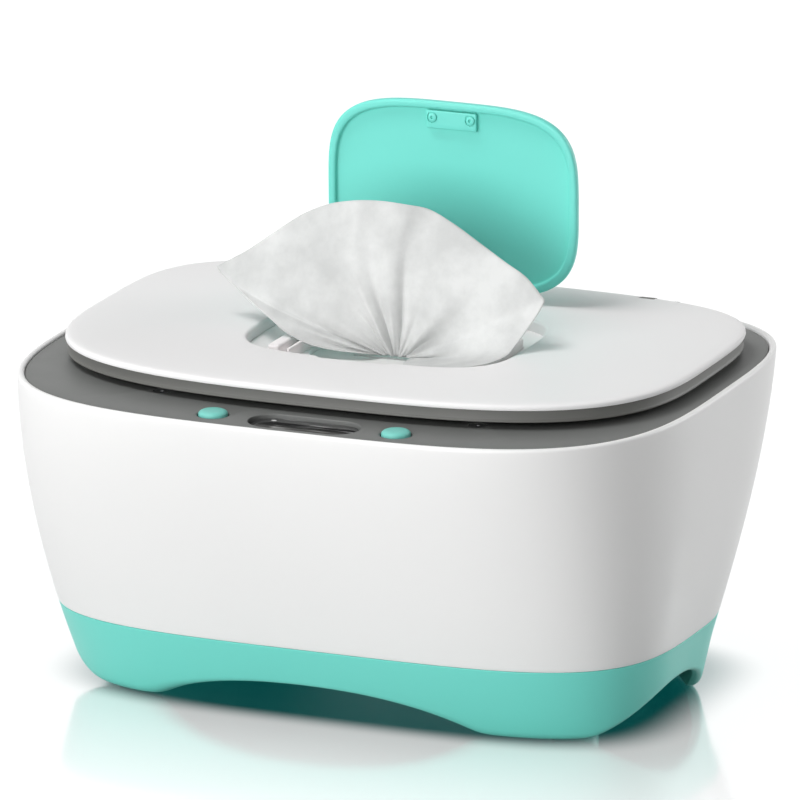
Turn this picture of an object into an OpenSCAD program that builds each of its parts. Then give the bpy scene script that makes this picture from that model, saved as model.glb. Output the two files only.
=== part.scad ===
// Baby wipe warmer with a lift-up main lid, a flip lid over the dispensing slot and two push buttons.
// Millimetres. The origin is on the table under the middle of the body, +Z is up and -Y is the front.

/* [Body] */
// Width of the body at its rim
body_w = 250.6; // [244:0.2:258]
// Reach of the rim to the front of the body's widest line
body_front = 108.7; // [106:0.1:112]
// Reach of the rim to the back of the body's widest line
body_back = 96; // [94:0.1:100]
// Height of the rim above the table
rim_z = 117.8; // [114:0.2:123]
// Height of the seam between the white shell and the base
seam_z = 30.2; // [28:0.2:33]
// Wall thickness of the white shell
shell_wall = 2.3; // [2:0.1:2.8]
// How far each side draws in from the rim down to the table
side_draw = 15; // [10:0.5:18]
// How far the front draws in from the rim down to the table
front_draw = 44; // [38:0.5:46]
// How far the back draws in from the rim down to the table
back_draw = 26.5; // [22:0.1:28]

/* [Base] */
// Width of the front and back arches between the feet
arch_w = 132; // [100:1:136]
// Height of the front and back arches
arch_h = 13.6; // [6:0.2:15.8]
// Sideways place of the front and back arches
arch_x = -7; // [-8:0.5:8]
// Width of the side arches
side_arch_w = 72; // [50:1:76]
// Height of the side arches
side_arch_h = 15.8; // [6:0.2:16]
// Place of the side arches, front to back
side_arch_y = -18; // [-20:0.5:0]
// Radius of the rubber feet
foot_r = 6.5; // [5:0.1:7]

/* [Lid] */
// How far the main lid stays inside the rim at each side
lid_side_in = 8.5; // [7.3:0.1:11.3]
// How far the main lid stays inside the rim at the front
lid_front_in = 26.5; // [24.7:0.1:28.7]
// How far the main lid stays inside the rim at the back
lid_back_in = 18.2; // [17.6:0.1:20]

/* [Flip lid] */
// Half width of the flip lid
flip_a = 48.2; // [44:0.1:49]
// Half length of the flip lid
flip_b = 35; // [33:0.1:35.4]
// Angle at which the flip lid stands open
flip_open = 90; // [0:1:92]

/* [Controls] */
// Sideways place of the control row
control_x = 3.5; // [-4:0.5:4]
// Distance between the two buttons
button_gap = 69.2; // [60:0.2:74]
// Radius of a button cap
button_r = 5.2; // [4.4:0.1:5.6]
// Length of the display opening
display_w = 43.3; // [38:0.1:48]
// Depth of the display opening
display_d = 17; // [12:0.1:17.4]
// How far a button travels when pressed
button_travel = 0.8; // [0.4:0.1:1.2]

/* [Wipes] */
// Length of a folded wipe in the stack
stack_w = 172; // [150:1:174]
// Depth of a folded wipe in the stack
stack_d = 94; // [80:1:95]
// Height of the stack of wipes
stack_h = 44; // [10:1:50]

/* [Hidden] */

// Colours as the photo shows them
white = [0.93, 0.93, 0.93];
teal = [0.40, 0.82, 0.76];
grey = [0.48, 0.49, 0.48];
dark_grey = [0.36, 0.36, 0.35];
black = [0.08, 0.08, 0.08];
steel = [0.75, 0.76, 0.78];
cloth = [0.90, 0.90, 0.89];

// Facets round an outline and round a turned piece
outline_count = 64;
dish_count = 48;
$fn = 40;
// A cut runs this far past the face it opens
past = 1;

// The sub-parts are described about the body's widest line, which stands this far behind the origin
widest_y = (body_front - body_back) / 2;

// Levels in the base
skirt_z = 0.6;
floor_z = 19.4;
floor_t = 2.4;
skirt_wall = 2.8;
seam_gap = 0.25;
foot_h = 3;
foot_seat_clear = 0.1;
leg_share = [0.65, 0.517];
front_leg = [body_w / 2 - 41.3, -leg_share[0] * (body_front - front_draw)];
back_leg = [body_w / 2 - 51.3, leg_share[1] * (body_back - back_draw)];

// Levels at the rim: shell ledge, tub flange, bezel
ledge_z = rim_z - 5.4;
ledge_in = 5.6;
flange_t = 2;
bezel_z = ledge_z + flange_t;
bezel_t = 2.6;
bezel_top = bezel_z + bezel_t;
bezel_in = shell_wall + 0.1;

// Tub
tub_wall = 2;
tub_a = body_w / 2 - 21.3;
tub_front = body_front - 39.2;
tub_back = body_back - 30.5;
tub_n = 3.5;
tub_draw = 5;
tub_floor_z = 42;
bezel_screw_x = 60;
bezel_screw_y = [-tub_front - 3.5, tub_back + 5.5];

// Heater stack under the tub floor
plate_w = 2 * (back_leg[0] - 6);
plate_d = 2 * (tub_back - 23.5);
plate_t = 1.4;
film_t = 0.6;
pad_t = 5;
retainer_t = 1.6;
film_z = tub_floor_z - plate_t - film_t;
pad_z = film_z - pad_t;
retainer_z = pad_z - retainer_t;
retainer_hole = [plate_w / 2 - 23, plate_d / 2 + 6];
sensor_x = 20;
sensor_r = 2.6;
fuse_x = -20;
fuse_r = 2;
fuse_l = 13;
wire_r = 1.1;

// Main lid
lid_a = body_w / 2 - lid_side_in;
lid_front = body_front - lid_front_in;
lid_back = body_back - lid_back_in;
lid_nf = 3;
lid_nb = 4.2;
skirt_bottom = rim_z + 2.6;
frame_top = skirt_bottom + 3;
frame_plate_t = 1.8;
panel_bottom = frame_top + 0.1;
panel_top = panel_bottom + 2.9;
panel_skin = 1.7;
pan_in = 16;
pan_bottom = rim_z - 6.3;
pan_t = 1.5;
seal_in = 7;
seal_w = 3;
lid_pin_y = lid_back + 6.2;
lid_pin_z = rim_z + 1.8;
lid_pin_r = 1.5;
lid_pin_x = 65;
knuckle_r = 3.2;
knuckle_w = 9;
lug_w = 3.5;
lug_gap = 0.4;
lid_screw_x = [lid_a - 32.8, lid_a - 56.8, lid_a - 56.8];
lid_screw_y = [0, 32.2 - lid_front, lid_back - 27.8];

// Flip lid, described closed and then turned open about its pin
flip_n = 3.7;
flip_y = -4;
flip_under = panel_top - 4.1;
flip_top = panel_top - 0.2;
flip_rim = 3.2;
flip_pin_y = flip_y + flip_b + 11.5;
flip_pin_z = flip_under - 5.5;
flip_pin_r = 1.25;
arm_x = 30;
arm_w = 5;
eye_r = 2.4;
recess_a = flip_a + 2;
recess_b = flip_b + 2.6;
recess_y = -3;

// Dispenser
flange_top = flip_under - 0.2;
dish_t = 1.5;
dish_drop = 4.1;
slot_a = recess_a - 19.2;
slot_b = 15;
lip_t = 1.1;
slit_w = 36;
slit_d = 8;
rib_x = [38.3, 32.5];
rib_w = [4.5, 1.2];
rib_top = flip_under + 1.3;
rib_front = 25;
rib_back = 17;

// Controls
control_y = 14.9 - body_front;
board_z = rim_z - 13.2;
board_t = 1.6;
button_proud = 1.6;
switch_body = 3.4;
switch_top = board_z + board_t + switch_body + 0.8;
window_lip = 0.5;
window_clear = 0.6;
board_screw_x = 49;
board_side = 4;
board_front = 7;
board_d = 15;
board_clear = 3;

// Power inlet
jack_z = floor_z + 4.9;
jack_w = 9;
jack_face_in = 1.4;
jack_length = 14.4;
jack_body = 8;
socket_r = 2.9;
socket_pin_r = 1;

// Share of the height below the rim: 0 at the rim, 1 on the table
function drop(z) = max(0, 1 - z / rim_z);
// The body's half sizes and roundness at a height
function half_w(z) = body_w / 2 - side_draw * pow(drop(z), 1.9);
function half_front(z) = body_front - front_draw * pow(drop(z), 1.5);
function half_back(z) = body_back - back_draw * pow(drop(z), 1.6);
function n_front(z) = 3.55 + 0.55 * drop(z);
function n_back(z) = max(2, 4 - 2.46 * drop(z));
// The inlet's face and the back of its case
jack_face = half_back(jack_z) - jack_face_in;
jack_y = jack_face - jack_length;

// Rounded outline whose front and back halves have their own reach and roundness
function outline(a, front, back, nf, nb, count = outline_count) =
    [for (i = [0 : count - 1])
        let (t = 360 * i / count,
            n = sin(t) < 0 ? nf : nb,
            b = sin(t) < 0 ? front : back,
            r = pow(pow(abs(cos(t)) / a, n) + pow(abs(sin(t)) / b, n), -1 / n))
        [r * cos(t), r * sin(t)]];
function at_height(points, z) = [for (p = points) [p[0], p[1], z]];
function moved(points, y) = [for (p = points) [p[0], p[1] + y]];
function body_outline(z, inset) =
    outline(half_w(z) - inset, half_front(z) - inset, half_back(z) - inset, n_front(z), n_back(z));
function body_ring(z, inset) = at_height(body_outline(z, inset), z);
function lid_outline(inset) =
    outline(lid_a - inset, lid_front - inset, lid_back - inset, lid_nf, lid_nb);
function tub_outline(z, grow) =
    let (draw = tub_draw * (bezel_top - z) / (bezel_top - tub_floor_z))
    outline(tub_a + grow - draw, tub_front + grow - draw, tub_back + grow - draw, tub_n, tub_n);
function flip_outline(inset) =
    moved(outline(flip_a - inset, flip_b - inset, flip_b - inset, flip_n, flip_n, dish_count), flip_y);
function recess_outline(grow) =
    moved(outline(recess_a + grow, recess_b + grow, recess_b + grow, flip_n, flip_n, dish_count), recess_y);

// Side faces between each ring and the next; closed joins the last ring back to the first
function side_faces(rings, closed) =
    let (n = len(rings[0]), m = len(rings))
    [for (j = [0 : closed ? m - 1 : m - 2], i = [0 : n - 1])
        let (a = j * n + i,
            b = j * n + (i + 1) % n,
            c = ((j + 1) % m) * n + (i + 1) % n,
            d = ((j + 1) % m) * n + i)
        each [[a, d, c], [a, c, b]]];
function all_points(rings) = [for (r = rings) each r];

// Solid through a stack of rings, from the lowest ring up
module stack(rings) {
    n = len(rings[0]);
    m = len(rings);
    caps = [[for (i = [0 : n - 1]) i], [for (i = [n - 1 : -1 : 0]) (m - 1) * n + i]];
    polyhedron(all_points(rings), concat(side_faces(rings, false), caps), convexity = 6);
}

// Wall whose section runs through the rings and back to the first one
module wall(rings) {
    polyhedron(all_points(rings), side_faces(rings, true), convexity = 6);
}

// Moves a sub-part from the body's widest line to its place about the origin
module about_widest() {
    translate([0, widest_y, 0])
        children();
}

// Flat plate with straight sides
module plate(points, z, t) {
    translate([0, 0, z])
        linear_extrude(t)
            polygon(points);
}

// Straight-sided bar with round ends along X
module slot_bar(w, d, h) {
    for (side = [-1, 1])
        translate([side * (w - d) / 2, 0, 0])
            cylinder(d = d, h = h);
    translate([-(w - d) / 2, -d / 2, 0])
        cube([w - d, d, h]);
}

// Children repeated at the four places of a leg or foot
module at_legs() {
    for (side = [-1, 1], leg = [front_leg, back_leg])
        translate([side * leg[0], leg[1], 0])
            children();
}

// Children at both buttons
module at_buttons() {
    for (side = [-1, 1])
        translate([control_x + side * button_gap / 2, control_y, 0])
            children();
}

// Pan-head screw with its head down: head from z 0, shank up
module screw(head_r, head_h, r, length) {
    difference() {
        cylinder(r = head_r, h = head_h);
        translate([0, 0, -past])
            cylinder(r = r * 0.55, h = past + head_h * 0.5, $fn = 6);
    }
    translate([0, 0, head_h])
        cylinder(r = r, h = length);
}

// Rod along X through the middle of its length
module x_rod(r, length) {
    rotate([0, 90, 0])
        cylinder(r = r, h = length, center = true);
}

// Round wire that stays in one plane across X, through a list of [y, z] points
module wire(x, points, r) {
    last = len(points) - 1;
    function along(i) = (points[min(i + 1, last)] - points[max(i, 0)]);
    function unit(v) = v / norm(v);
    rings = [for (i = [0 : last])
        let (before = unit(along(max(i - 1, 0))),
            after = unit(along(min(i, last - 1))),
            across = unit([-before[1] - after[1], before[0] + after[0]]),
            widen = 1 / (across * [-after[1], after[0]]))
        [for (a = [0 : 45 : 315])
            [x + r * cos(a), points[i][0] + across[0] * widen * r * sin(a),
                points[i][1] + across[1] * widen * r * sin(a)]]];
    stack(rings);
}

// Teal base: skirt with arches, a floor, and four posts that carry feet and screws
module base_tray() {
    top = seam_z - seam_gap;
    skirt = [body_ring(skirt_z, 3.2), body_ring(skirt_z + 0.5, 1.5), body_ring(skirt_z + 1.8, 0.5),
        body_ring(skirt_z + 4, 0), body_ring(14, 0), body_ring(22, 0), body_ring(top, 0)];
    inside = [body_ring(floor_z, skirt_wall), body_ring(seam_z + past, skirt_wall)];
    underside = [body_ring(-past, 8), body_ring(2.4, 5.2), body_ring(floor_z - floor_t, skirt_wall + 0.6)];
    color(teal)
        about_widest() {
            difference() {
                stack(skirt);
                stack(inside);
                stack(underside);
                arch(arch_w, arch_h, 2 * body_front, arch_x, 0);
                arch(side_arch_w, side_arch_h, body_w, side_arch_y, 90);
                at_legs()
                    translate([0, 0, floor_z - floor_t - past])
                        cylinder(r = 1.7, h = floor_t + 2 * past);
                translate([0, body_back, jack_z])
                    rotate([90, 0, 0])
                        cylinder(r = 4.6, h = body_back - jack_y);
            }
            at_legs()
                foot_post();
        }
}

// Round-topped tunnel between the feet, through both opposite walls, moved sideways by shift
module arch(w, h, length, shift, turn) {
    steps = 16;
    points = [for (i = [0 : steps])
        let (u = 2 * i / steps - 1) [u * w / 2, h * (1 - pow(abs(u), 2.2)) + skirt_z]];
    rotate([90, 0, turn])
        translate([shift, 0, 0])
            linear_extrude(length, center = true)
                polygon(concat([[-w / 2, -past]], points, [[w / 2, -past]]));
}

// Post under the floor, open below for a rubber foot, with the screw's way up its middle
module foot_post() {
    difference() {
        translate([0, 0, skirt_z])
            cylinder(r = foot_r + 1.5, h = floor_z - floor_t - skirt_z);
        translate([0, 0, skirt_z - past])
            cylinder(r = foot_r + foot_seat_clear, h = foot_h - skirt_z + past);
        translate([0, 0, foot_h - past])
            cylinder(r = 3.4, h = 5.4 + past);
        translate([0, 0, foot_h])
            cylinder(r = 1.7, h = floor_z);
    }
}

module rubber_feet() {
    color(dark_grey)
        about_widest()
            at_legs()
                cylinder(r = foot_r, h = foot_h);
}

module base_screws() {
    color(steel)
        about_widest()
            at_legs()
                translate([0, 0, foot_h + 3.4])
                    screw(3, 2, 1.48, 21.5);
}

// White shell from the seam to the rim, with an inner ledge that carries the tub
module outer_shell() {
    bottom = seam_z + seam_gap;
    w = shell_wall;
    steps = [0.14, 0.3, 0.48, 0.69];
    function level(share) = seam_z + share * (rim_z - seam_z);
    outside = [for (s = concat(steps, [0.87])) body_ring(level(s), 0)];
    inside = [for (i = [len(steps) - 1 : -1 : 0]) body_ring(level(steps[i]), w)];
    rim = [body_ring(rim_z - 1, 0), body_ring(rim_z - 0.3, 0.35), body_ring(rim_z, 1.1),
        body_ring(rim_z - 0.4, w)];
    ledge = [body_ring(ledge_z, w), body_ring(ledge_z, ledge_in), body_ring(ledge_z - 2, ledge_in),
        body_ring(ledge_z - 6, w)];
    color(white)
        about_widest()
            wall(concat([body_ring(bottom, 0)], outside, rim, ledge, inside, [body_ring(bottom, w)]));
}

// Tub for the wipes: flange on the shell's ledge, drawn walls, floor and legs down to the base
module inner_tub() {
    outside = [at_height(tub_outline(tub_floor_z, tub_wall - 5), tub_floor_z),
        at_height(tub_outline(tub_floor_z + 5, tub_wall), tub_floor_z + 5),
        at_height(tub_outline(bezel_z, tub_wall), bezel_z)];
    inside = [at_height(tub_outline(tub_floor_z + 2, -5), tub_floor_z + 2),
        at_height(tub_outline(tub_floor_z + 7, 0), tub_floor_z + 7),
        at_height(tub_outline(bezel_z + past, 0), bezel_z + past)];
    cut_front = control_y - (display_d / 2 + window_lip + window_clear);
    cut_back = control_y + board_d;
    cut_side = board_screw_x + board_side + board_clear;
    color(white)
        about_widest() {
            difference() {
                union() {
                    plate(body_outline(ledge_z, bezel_in + 0.1), ledge_z, flange_t);
                    stack(outside);
                    at_bezel_screws()
                        translate([0, 0, bezel_z - 9])
                            cylinder(r = 3, h = 8);
                }
                stack(inside);
                translate([control_x - cut_side, cut_front, ledge_z - past])
                    cube([2 * cut_side, cut_back - cut_front, flange_t + 2 * past]);
                at_bezel_screws()
                    translate([0, 0, bezel_z - 7.5])
                        cylinder(r = 1.4, h = 7.5 + past);
            }
            difference() {
                union() {
                    at_legs()
                        translate([0, 0, floor_z])
                            cylinder(r = 4, h = tub_floor_z + 1 - floor_z);
                    at_retainer_screws()
                        translate([0, 0, pad_z])
                            cylinder(r = 3.4, h = tub_floor_z + 1 - pad_z);
                }
                at_legs()
                    translate([0, 0, floor_z - past])
                        cylinder(r = 1.5, h = 18);
                at_retainer_screws()
                    translate([0, 0, pad_z - past])
                        cylinder(r = 1.25, h = 6.6);
            }
        }
}

module at_bezel_screws() {
    for (x = [-bezel_screw_x, bezel_screw_x])
        for (y = bezel_screw_y)
            translate([x, y, 0])
                children();
}

module at_retainer_screws() {
    for (x = [-retainer_hole[0], retainer_hole[0]])
        for (y = [-retainer_hole[1], retainer_hole[1]])
            translate([x, y, 0])
                children();
}

// Grey ring round the lid: holds the buttons, the display and the lid's hinge lugs
module bezel_ring() {
    lug_x = knuckle_w / 2 + lug_gap + lug_w / 2;
    color(grey)
        about_widest()
            difference() {
                union() {
                    plate(body_outline(bezel_z, bezel_in), bezel_z, bezel_t);
                    for (side = [-1, 1], lug = [-1, 1])
                        translate([side * lid_pin_x + lug * lug_x, lid_pin_y, 0]) {
                            translate([-lug_w / 2, -knuckle_r, bezel_z + bezel_t - past])
                                cube([lug_w, 2 * knuckle_r, lid_pin_z - bezel_top + past]);
                            translate([0, 0, lid_pin_z])
                                x_rod(knuckle_r, lug_w);
                        }
                    for (side = [-1, 1])
                        translate([control_x + side * board_screw_x, control_y, board_z + board_t])
                            cylinder(r = 3, h = bezel_z + past - board_z - board_t);
                }
                translate([0, 0, bezel_z - past])
                    linear_extrude(bezel_t + 2 * past)
                        polygon(tub_outline(bezel_z, 0));
                at_buttons()
                    translate([0, 0, bezel_z - past])
                        cylinder(r = button_r + 0.3, h = bezel_t + 2 * past);
                translate([control_x, control_y, bezel_z - past])
                    slot_bar(display_w, display_d, bezel_t + 2 * past);
                for (side = [-1, 1])
                    translate([side * lid_pin_x, lid_pin_y, 0]) {
                        translate([-knuckle_w / 2 - 0.3, -knuckle_r - 0.6, bezel_z + 1])
                            cube([knuckle_w + 0.6, 2 * knuckle_r + 1.2, bezel_t]);
                        translate([0, 0, lid_pin_z])
                            x_rod(lid_pin_r, 3 * knuckle_w);
                    }
                at_bezel_screws() {
                    translate([0, 0, bezel_z - past])
                        cylinder(r = 1.7, h = bezel_t + 2 * past);
                    translate([0, 0, bezel_top - 1.4])
                        cylinder(r = 3.1, h = 1.4 + past);
                }
                for (side = [-1, 1])
                    translate([control_x + side * board_screw_x, control_y, board_z])
                        cylinder(r = 1.05, h = 8);
            }
}

module bezel_screws() {
    color(steel)
        about_widest()
            at_bezel_screws()
                translate([0, 0, bezel_top - 0.1])
                    rotate([180, 0, 0])
                        screw(2.9, 1.3, 1.38, 8);
}

module heater_plate() {
    color(steel)
        about_widest()
            translate([-plate_w / 2, -plate_d / 2, tub_floor_z - plate_t])
                cube([plate_w, plate_d, plate_t]);
}

module heating_film() {
    color([0.75, 0.45, 0.15])
        about_widest()
            translate([-plate_w / 2 + 3, -plate_d / 2 + 3, film_z])
                cube([plate_w - 6, plate_d - 6, film_t]);
}

// Foam under the heater, with pockets for the sensor and the fuse
module insulation_pad() {
    color([0.85, 0.84, 0.78])
        about_widest()
            difference() {
                translate([-plate_w / 2, -plate_d / 2, pad_z])
                    cube([plate_w, plate_d, pad_t]);
                translate([sensor_x, 0, pad_z - past])
                    cylinder(r = sensor_r + 0.4, h = pad_t + 2 * past);
                translate([fuse_x - fuse_l / 2 - 1, -fuse_r - 1, film_z - 2 * fuse_r - 0.4])
                    cube([fuse_l + 2, 2 * fuse_r + 2, pad_t]);
            }
}

module heater_retainer() {
    ear = retainer_hole[1] + 5;
    color(dark_grey)
        about_widest()
            difference() {
                union() {
                    translate([-plate_w / 2, -plate_d / 2, retainer_z])
                        cube([plate_w, plate_d, retainer_t]);
                    for (x = [-retainer_hole[0], retainer_hole[0]])
                        translate([x - 6, -ear, retainer_z])
                            cube([12, 2 * ear, retainer_t]);
                }
                translate([sensor_x, 0, retainer_z - past])
                    cylinder(r = sensor_r + 0.4, h = retainer_t + 2 * past);
                at_retainer_screws()
                    translate([0, 0, retainer_z - past])
                        cylinder(r = 1.6, h = retainer_t + 2 * past);
            }
}

module retainer_screws() {
    color(steel)
        about_widest()
            at_retainer_screws()
                translate([0, 0, retainer_z - 1.8])
                    screw(2.8, 1.8, 1.23, 6);
}

module temperature_sensor() {
    color(black)
        about_widest()
            translate([sensor_x, 0, retainer_z])
                cylinder(r = sensor_r, h = film_z - retainer_z);
}

module thermal_fuse() {
    color([0.9, 0.9, 0.85])
        about_widest()
            translate([fuse_x, 0, film_z - fuse_r])
                x_rod(fuse_r, fuse_l);
}

// Board under the front of the bezel
module control_board() {
    color([0.05, 0.35, 0.18])
        about_widest()
            difference() {
                translate([control_x - board_screw_x - board_side, control_y - board_front, board_z])
                    cube([2 * (board_screw_x + board_side), board_d, board_t]);
                for (side = [-1, 1])
                    translate([control_x + side * board_screw_x, control_y, board_z - past])
                        cylinder(r = 1.4, h = board_t + 2 * past);
            }
}

module board_screws() {
    color(steel)
        about_widest()
            for (side = [-1, 1])
                translate([control_x + side * board_screw_x, control_y, board_z - 1.6])
                    screw(2.4, 1.6, 1.03, 7);
}

module tact_switches() {
    color(black)
        about_widest()
            at_buttons()
                translate([0, 0, board_z + board_t]) {
                    translate([-3, -3, 0])
                        cube([6, 6, switch_body]);
                    translate([0, 0, switch_body])
                        cylinder(r = 1.7, h = switch_top - board_z - board_t - switch_body);
                }
}

module display_module() {
    color(dark_grey)
        about_widest()
            translate([control_x, control_y, board_z + board_t]) {
                translate([-display_w / 2 - 1, -display_d / 2 + 1.5, 0])
                    cube([display_w + 2, display_d - 3, 3.4]);
                translate([-display_w / 2 + 3, -display_d / 2 + 3, 3.4])
                    cube([display_w - 6, display_d - 6, 1.2]);
            }
}

// Clear window that closes the display opening from below
module display_window() {
    color([0.2, 0.22, 0.22, 0.5])
        about_widest()
            translate([control_x, control_y, bezel_z - 1.4])
                slot_bar(display_w + 2 * window_lip, display_d + 2 * window_lip, 1.4);
}

module button(x) {
    top = bezel_top + button_proud;
    guide = bezel_z - 0.15;
    stem = switch_top + button_travel + 0.1;
    color(teal)
        about_widest()
            translate([x, control_y, 0])
                rotate_extrude()
                    polygon([[0, stem], [1.6, stem], [1.6, guide - 1], [button_r + 1, guide - 1],
                        [button_r + 1, guide], [button_r, guide], [button_r, top - 0.9],
                        [button_r - 0.25, top - 0.45], [button_r - 0.8, top - 0.15],
                        [button_r - 1.8, top], [0, top]]);
}

module button_left() {
    button(control_x - button_gap / 2);
}

module button_right() {
    button(control_x + button_gap / 2);
}

// Socket for the power plug in the back of the base
module dc_jack() {
    face = jack_face;
    color(black)
        about_widest()
            translate([0, 0, jack_z])
                rotate([-90, 0, 0]) {
                    difference() {
                        union() {
                            translate([-jack_w / 2, -jack_w / 2, jack_y])
                                cube([jack_w, jack_w, jack_body]);
                            translate([0, 0, jack_y + jack_body - past])
                                cylinder(r = 4.3, h = face - jack_y - jack_body + past);
                        }
                        translate([0, 0, face - 9.5])
                            cylinder(r = socket_r, h = 9.5 + past);
                    }
                    translate([0, 0, face - 10])
                        cylinder(r = socket_pin_r, h = 8.5);
                }
}

// Leads from the inlet to the board, and from the board to the heater's sensor
module wire_harness() {
    rise = -tub_front - 3;
    turn_z = ledge_z - 13;
    at_board = control_y + 5.8;
    run_z = floor_z + 4;
    over_z = run_z + 4;
    color([0.7, 0.1, 0.1])
        about_widest() {
            wire(2, [[jack_y, jack_z], [jack_y - 3, jack_z], [jack_y - 8, run_z], [rise + 4.5, run_z],
                [rise, run_z + 5], [rise, turn_z - 3], [rise - 5, turn_z], [at_board + 3, turn_z],
                [at_board, turn_z + 2], [at_board, board_z]], wire_r);
            wire(sensor_x, [[0, retainer_z], [0, retainer_z - 4], [-3, over_z], [rise + 6.5, over_z],
                [rise, over_z + 6], [rise, turn_z - 3], [rise - 5, turn_z], [at_board + 3, turn_z],
                [at_board, turn_z + 2], [at_board, board_z]], wire_r);
        }
}

module lid_hinge_pins() {
    color(steel)
        about_widest()
            for (side = [-1, 1])
                translate([side * lid_pin_x, lid_pin_y, lid_pin_z])
                    x_rod(lid_pin_r - 0.05, knuckle_w + 2 * lug_gap + 2 * lug_w);
}

// Pad of folded wipes on the tub floor
module wipe_stack() {
    z = tub_floor_z + 2.2;
    a = stack_w / 2;
    b = stack_d / 2;
    color(cloth)
        about_widest()
            stack([at_height(outline(a - 1.5, b - 1.5, b - 1.5, 8, 8, dish_count), z),
                at_height(outline(a, b, b, 8, 8, dish_count), z + 3),
                at_height(outline(a, b, b, 8, 8, dish_count), z + stack_h - 3),
                at_height(outline(a - 2, b - 2, b - 2, 8, 8, dish_count), z + stack_h)]);
}

// White top of the main lid: a thin domed shell with a collar round the flip lid's recess
module lid_panel() {
    t = panel_top;
    dome = [at_height(lid_outline(0.3), panel_bottom), at_height(lid_outline(0), panel_bottom + 0.5),
        at_height(lid_outline(0.2), panel_bottom + 1.2), at_height(lid_outline(0.9), panel_bottom + 2),
        at_height(lid_outline(2.4), t - 0.4), at_height(lid_outline(7), t - 0.15),
        at_height(lid_outline(20), t)];
    hollow = [at_height(lid_outline(2.6), panel_bottom - past), at_height(lid_outline(2.6), t - panel_skin)];
    color(white)
        about_widest()
            difference() {
                union() {
                    difference() {
                        stack(dome);
                        stack(hollow);
                    }
                    plate(recess_outline(2.4), flange_top, t - flange_top - 0.6);
                    at_lid_screws()
                        translate([0, 0, pan_bottom + pan_t])
                            cylinder(r = 2.8, h = t - 0.6 - pan_bottom - pan_t);
                }
                plate(recess_outline(0), flange_top - past, t - flange_top + 2 * past);
                translate([-13, recess_y - recess_b - 1.7, flange_top + 1.2])
                    cube([26, 10, 10]);
                for (side = [-1, 1])
                    translate([side * arm_x - arm_w / 2 - 0.7, recess_y + recess_b - 8, flange_top - past])
                        cube([arm_w + 1.4, flip_pin_y + 9.5 - recess_y - recess_b + 8, 10]);
                for (side = [-1, 1])
                    translate([side * lid_pin_x - 3.2, lid_back - 3, panel_bottom - past])
                        cube([6.4, 10, 10]);
                at_lid_screws()
                    translate([0, 0, pan_bottom + pan_t - past])
                        cylinder(r = 1.3, h = 8);
            }
}

module at_lid_screws() {
    for (side = [-1, 1], i = [0 : len(lid_screw_x) - 1])
        translate([side * lid_screw_x[i], lid_screw_y[i], 0])
            children();
}

// Grey frame under the panel: skirt, pan that drops into the tub, collar, hinge arms and pin lugs
module lid_frame() {
    plate_z = frame_top - frame_plate_t;
    color(dark_grey)
        about_widest()
            difference() {
                union() {
                    difference() {
                        union() {
                            plate(lid_outline(1.5), skirt_bottom, frame_top - skirt_bottom);
                            plate(lid_outline(0.7), skirt_bottom, 0.8);
                            plate(lid_outline(pan_in), pan_bottom, frame_top - pan_bottom);
                        }
                        difference() {
                            plate(lid_outline(3.4), skirt_bottom - past, plate_z - skirt_bottom + past);
                            plate(lid_outline(pan_in), skirt_bottom - past, frame_top);
                        }
                        plate(lid_outline(pan_in + 1.6), pan_bottom + pan_t, frame_top);
                    }
                    plate(recess_outline(3.4), pan_bottom, flange_top - dish_t - pan_bottom);
                    for (side = [-1, 1]) {
                        translate([side * lid_pin_x - knuckle_w / 2, lid_back - 6,
                            lid_pin_z + knuckle_r - 1.6])
                            cube([knuckle_w, lid_pin_y - lid_back + 6, 1.6]);
                        translate([side * lid_pin_x, lid_pin_y, lid_pin_z])
                            x_rod(knuckle_r, knuckle_w);
                        for (x = [arm_x - 6, arm_x + 6])
                            translate([side * x - 2, flip_pin_y - 2.4, pan_bottom + 1])
                                cube([4, 4.8, flip_pin_z + 2.4 - pan_bottom - 1]);
                    }
                }
                plate(recess_outline(1.3), pan_bottom - past, flange_top - pan_bottom + 2 * past);
                translate([0, flip_pin_y, flip_pin_z])
                    x_rod(flip_pin_r, 2 * arm_x + 20);
                for (side = [-1, 1])
                    translate([side * lid_pin_x, lid_pin_y, lid_pin_z])
                        x_rod(lid_pin_r, 2 * knuckle_w);
                at_lid_screws()
                    translate([0, 0, pan_bottom - past])
                        cylinder(r = 1.6, h = 2 * past + pan_t);
            }
}

module lid_screws() {
    color(steel)
        about_widest()
            at_lid_screws()
                translate([0, 0, pan_bottom - 1.6])
                    screw(2.7, 1.6, 1.28, 7);
}

// Soft ring that closes the gap between lid and bezel
module lid_seal() {
    color([0.8, 0.8, 0.8])
        about_widest()
            difference() {
                plate(lid_outline(seal_in), bezel_top + 0.3, frame_top - frame_plate_t - bezel_top - 0.3);
                plate(lid_outline(seal_in + seal_w), bezel_top - past, frame_top);
            }
}

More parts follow.
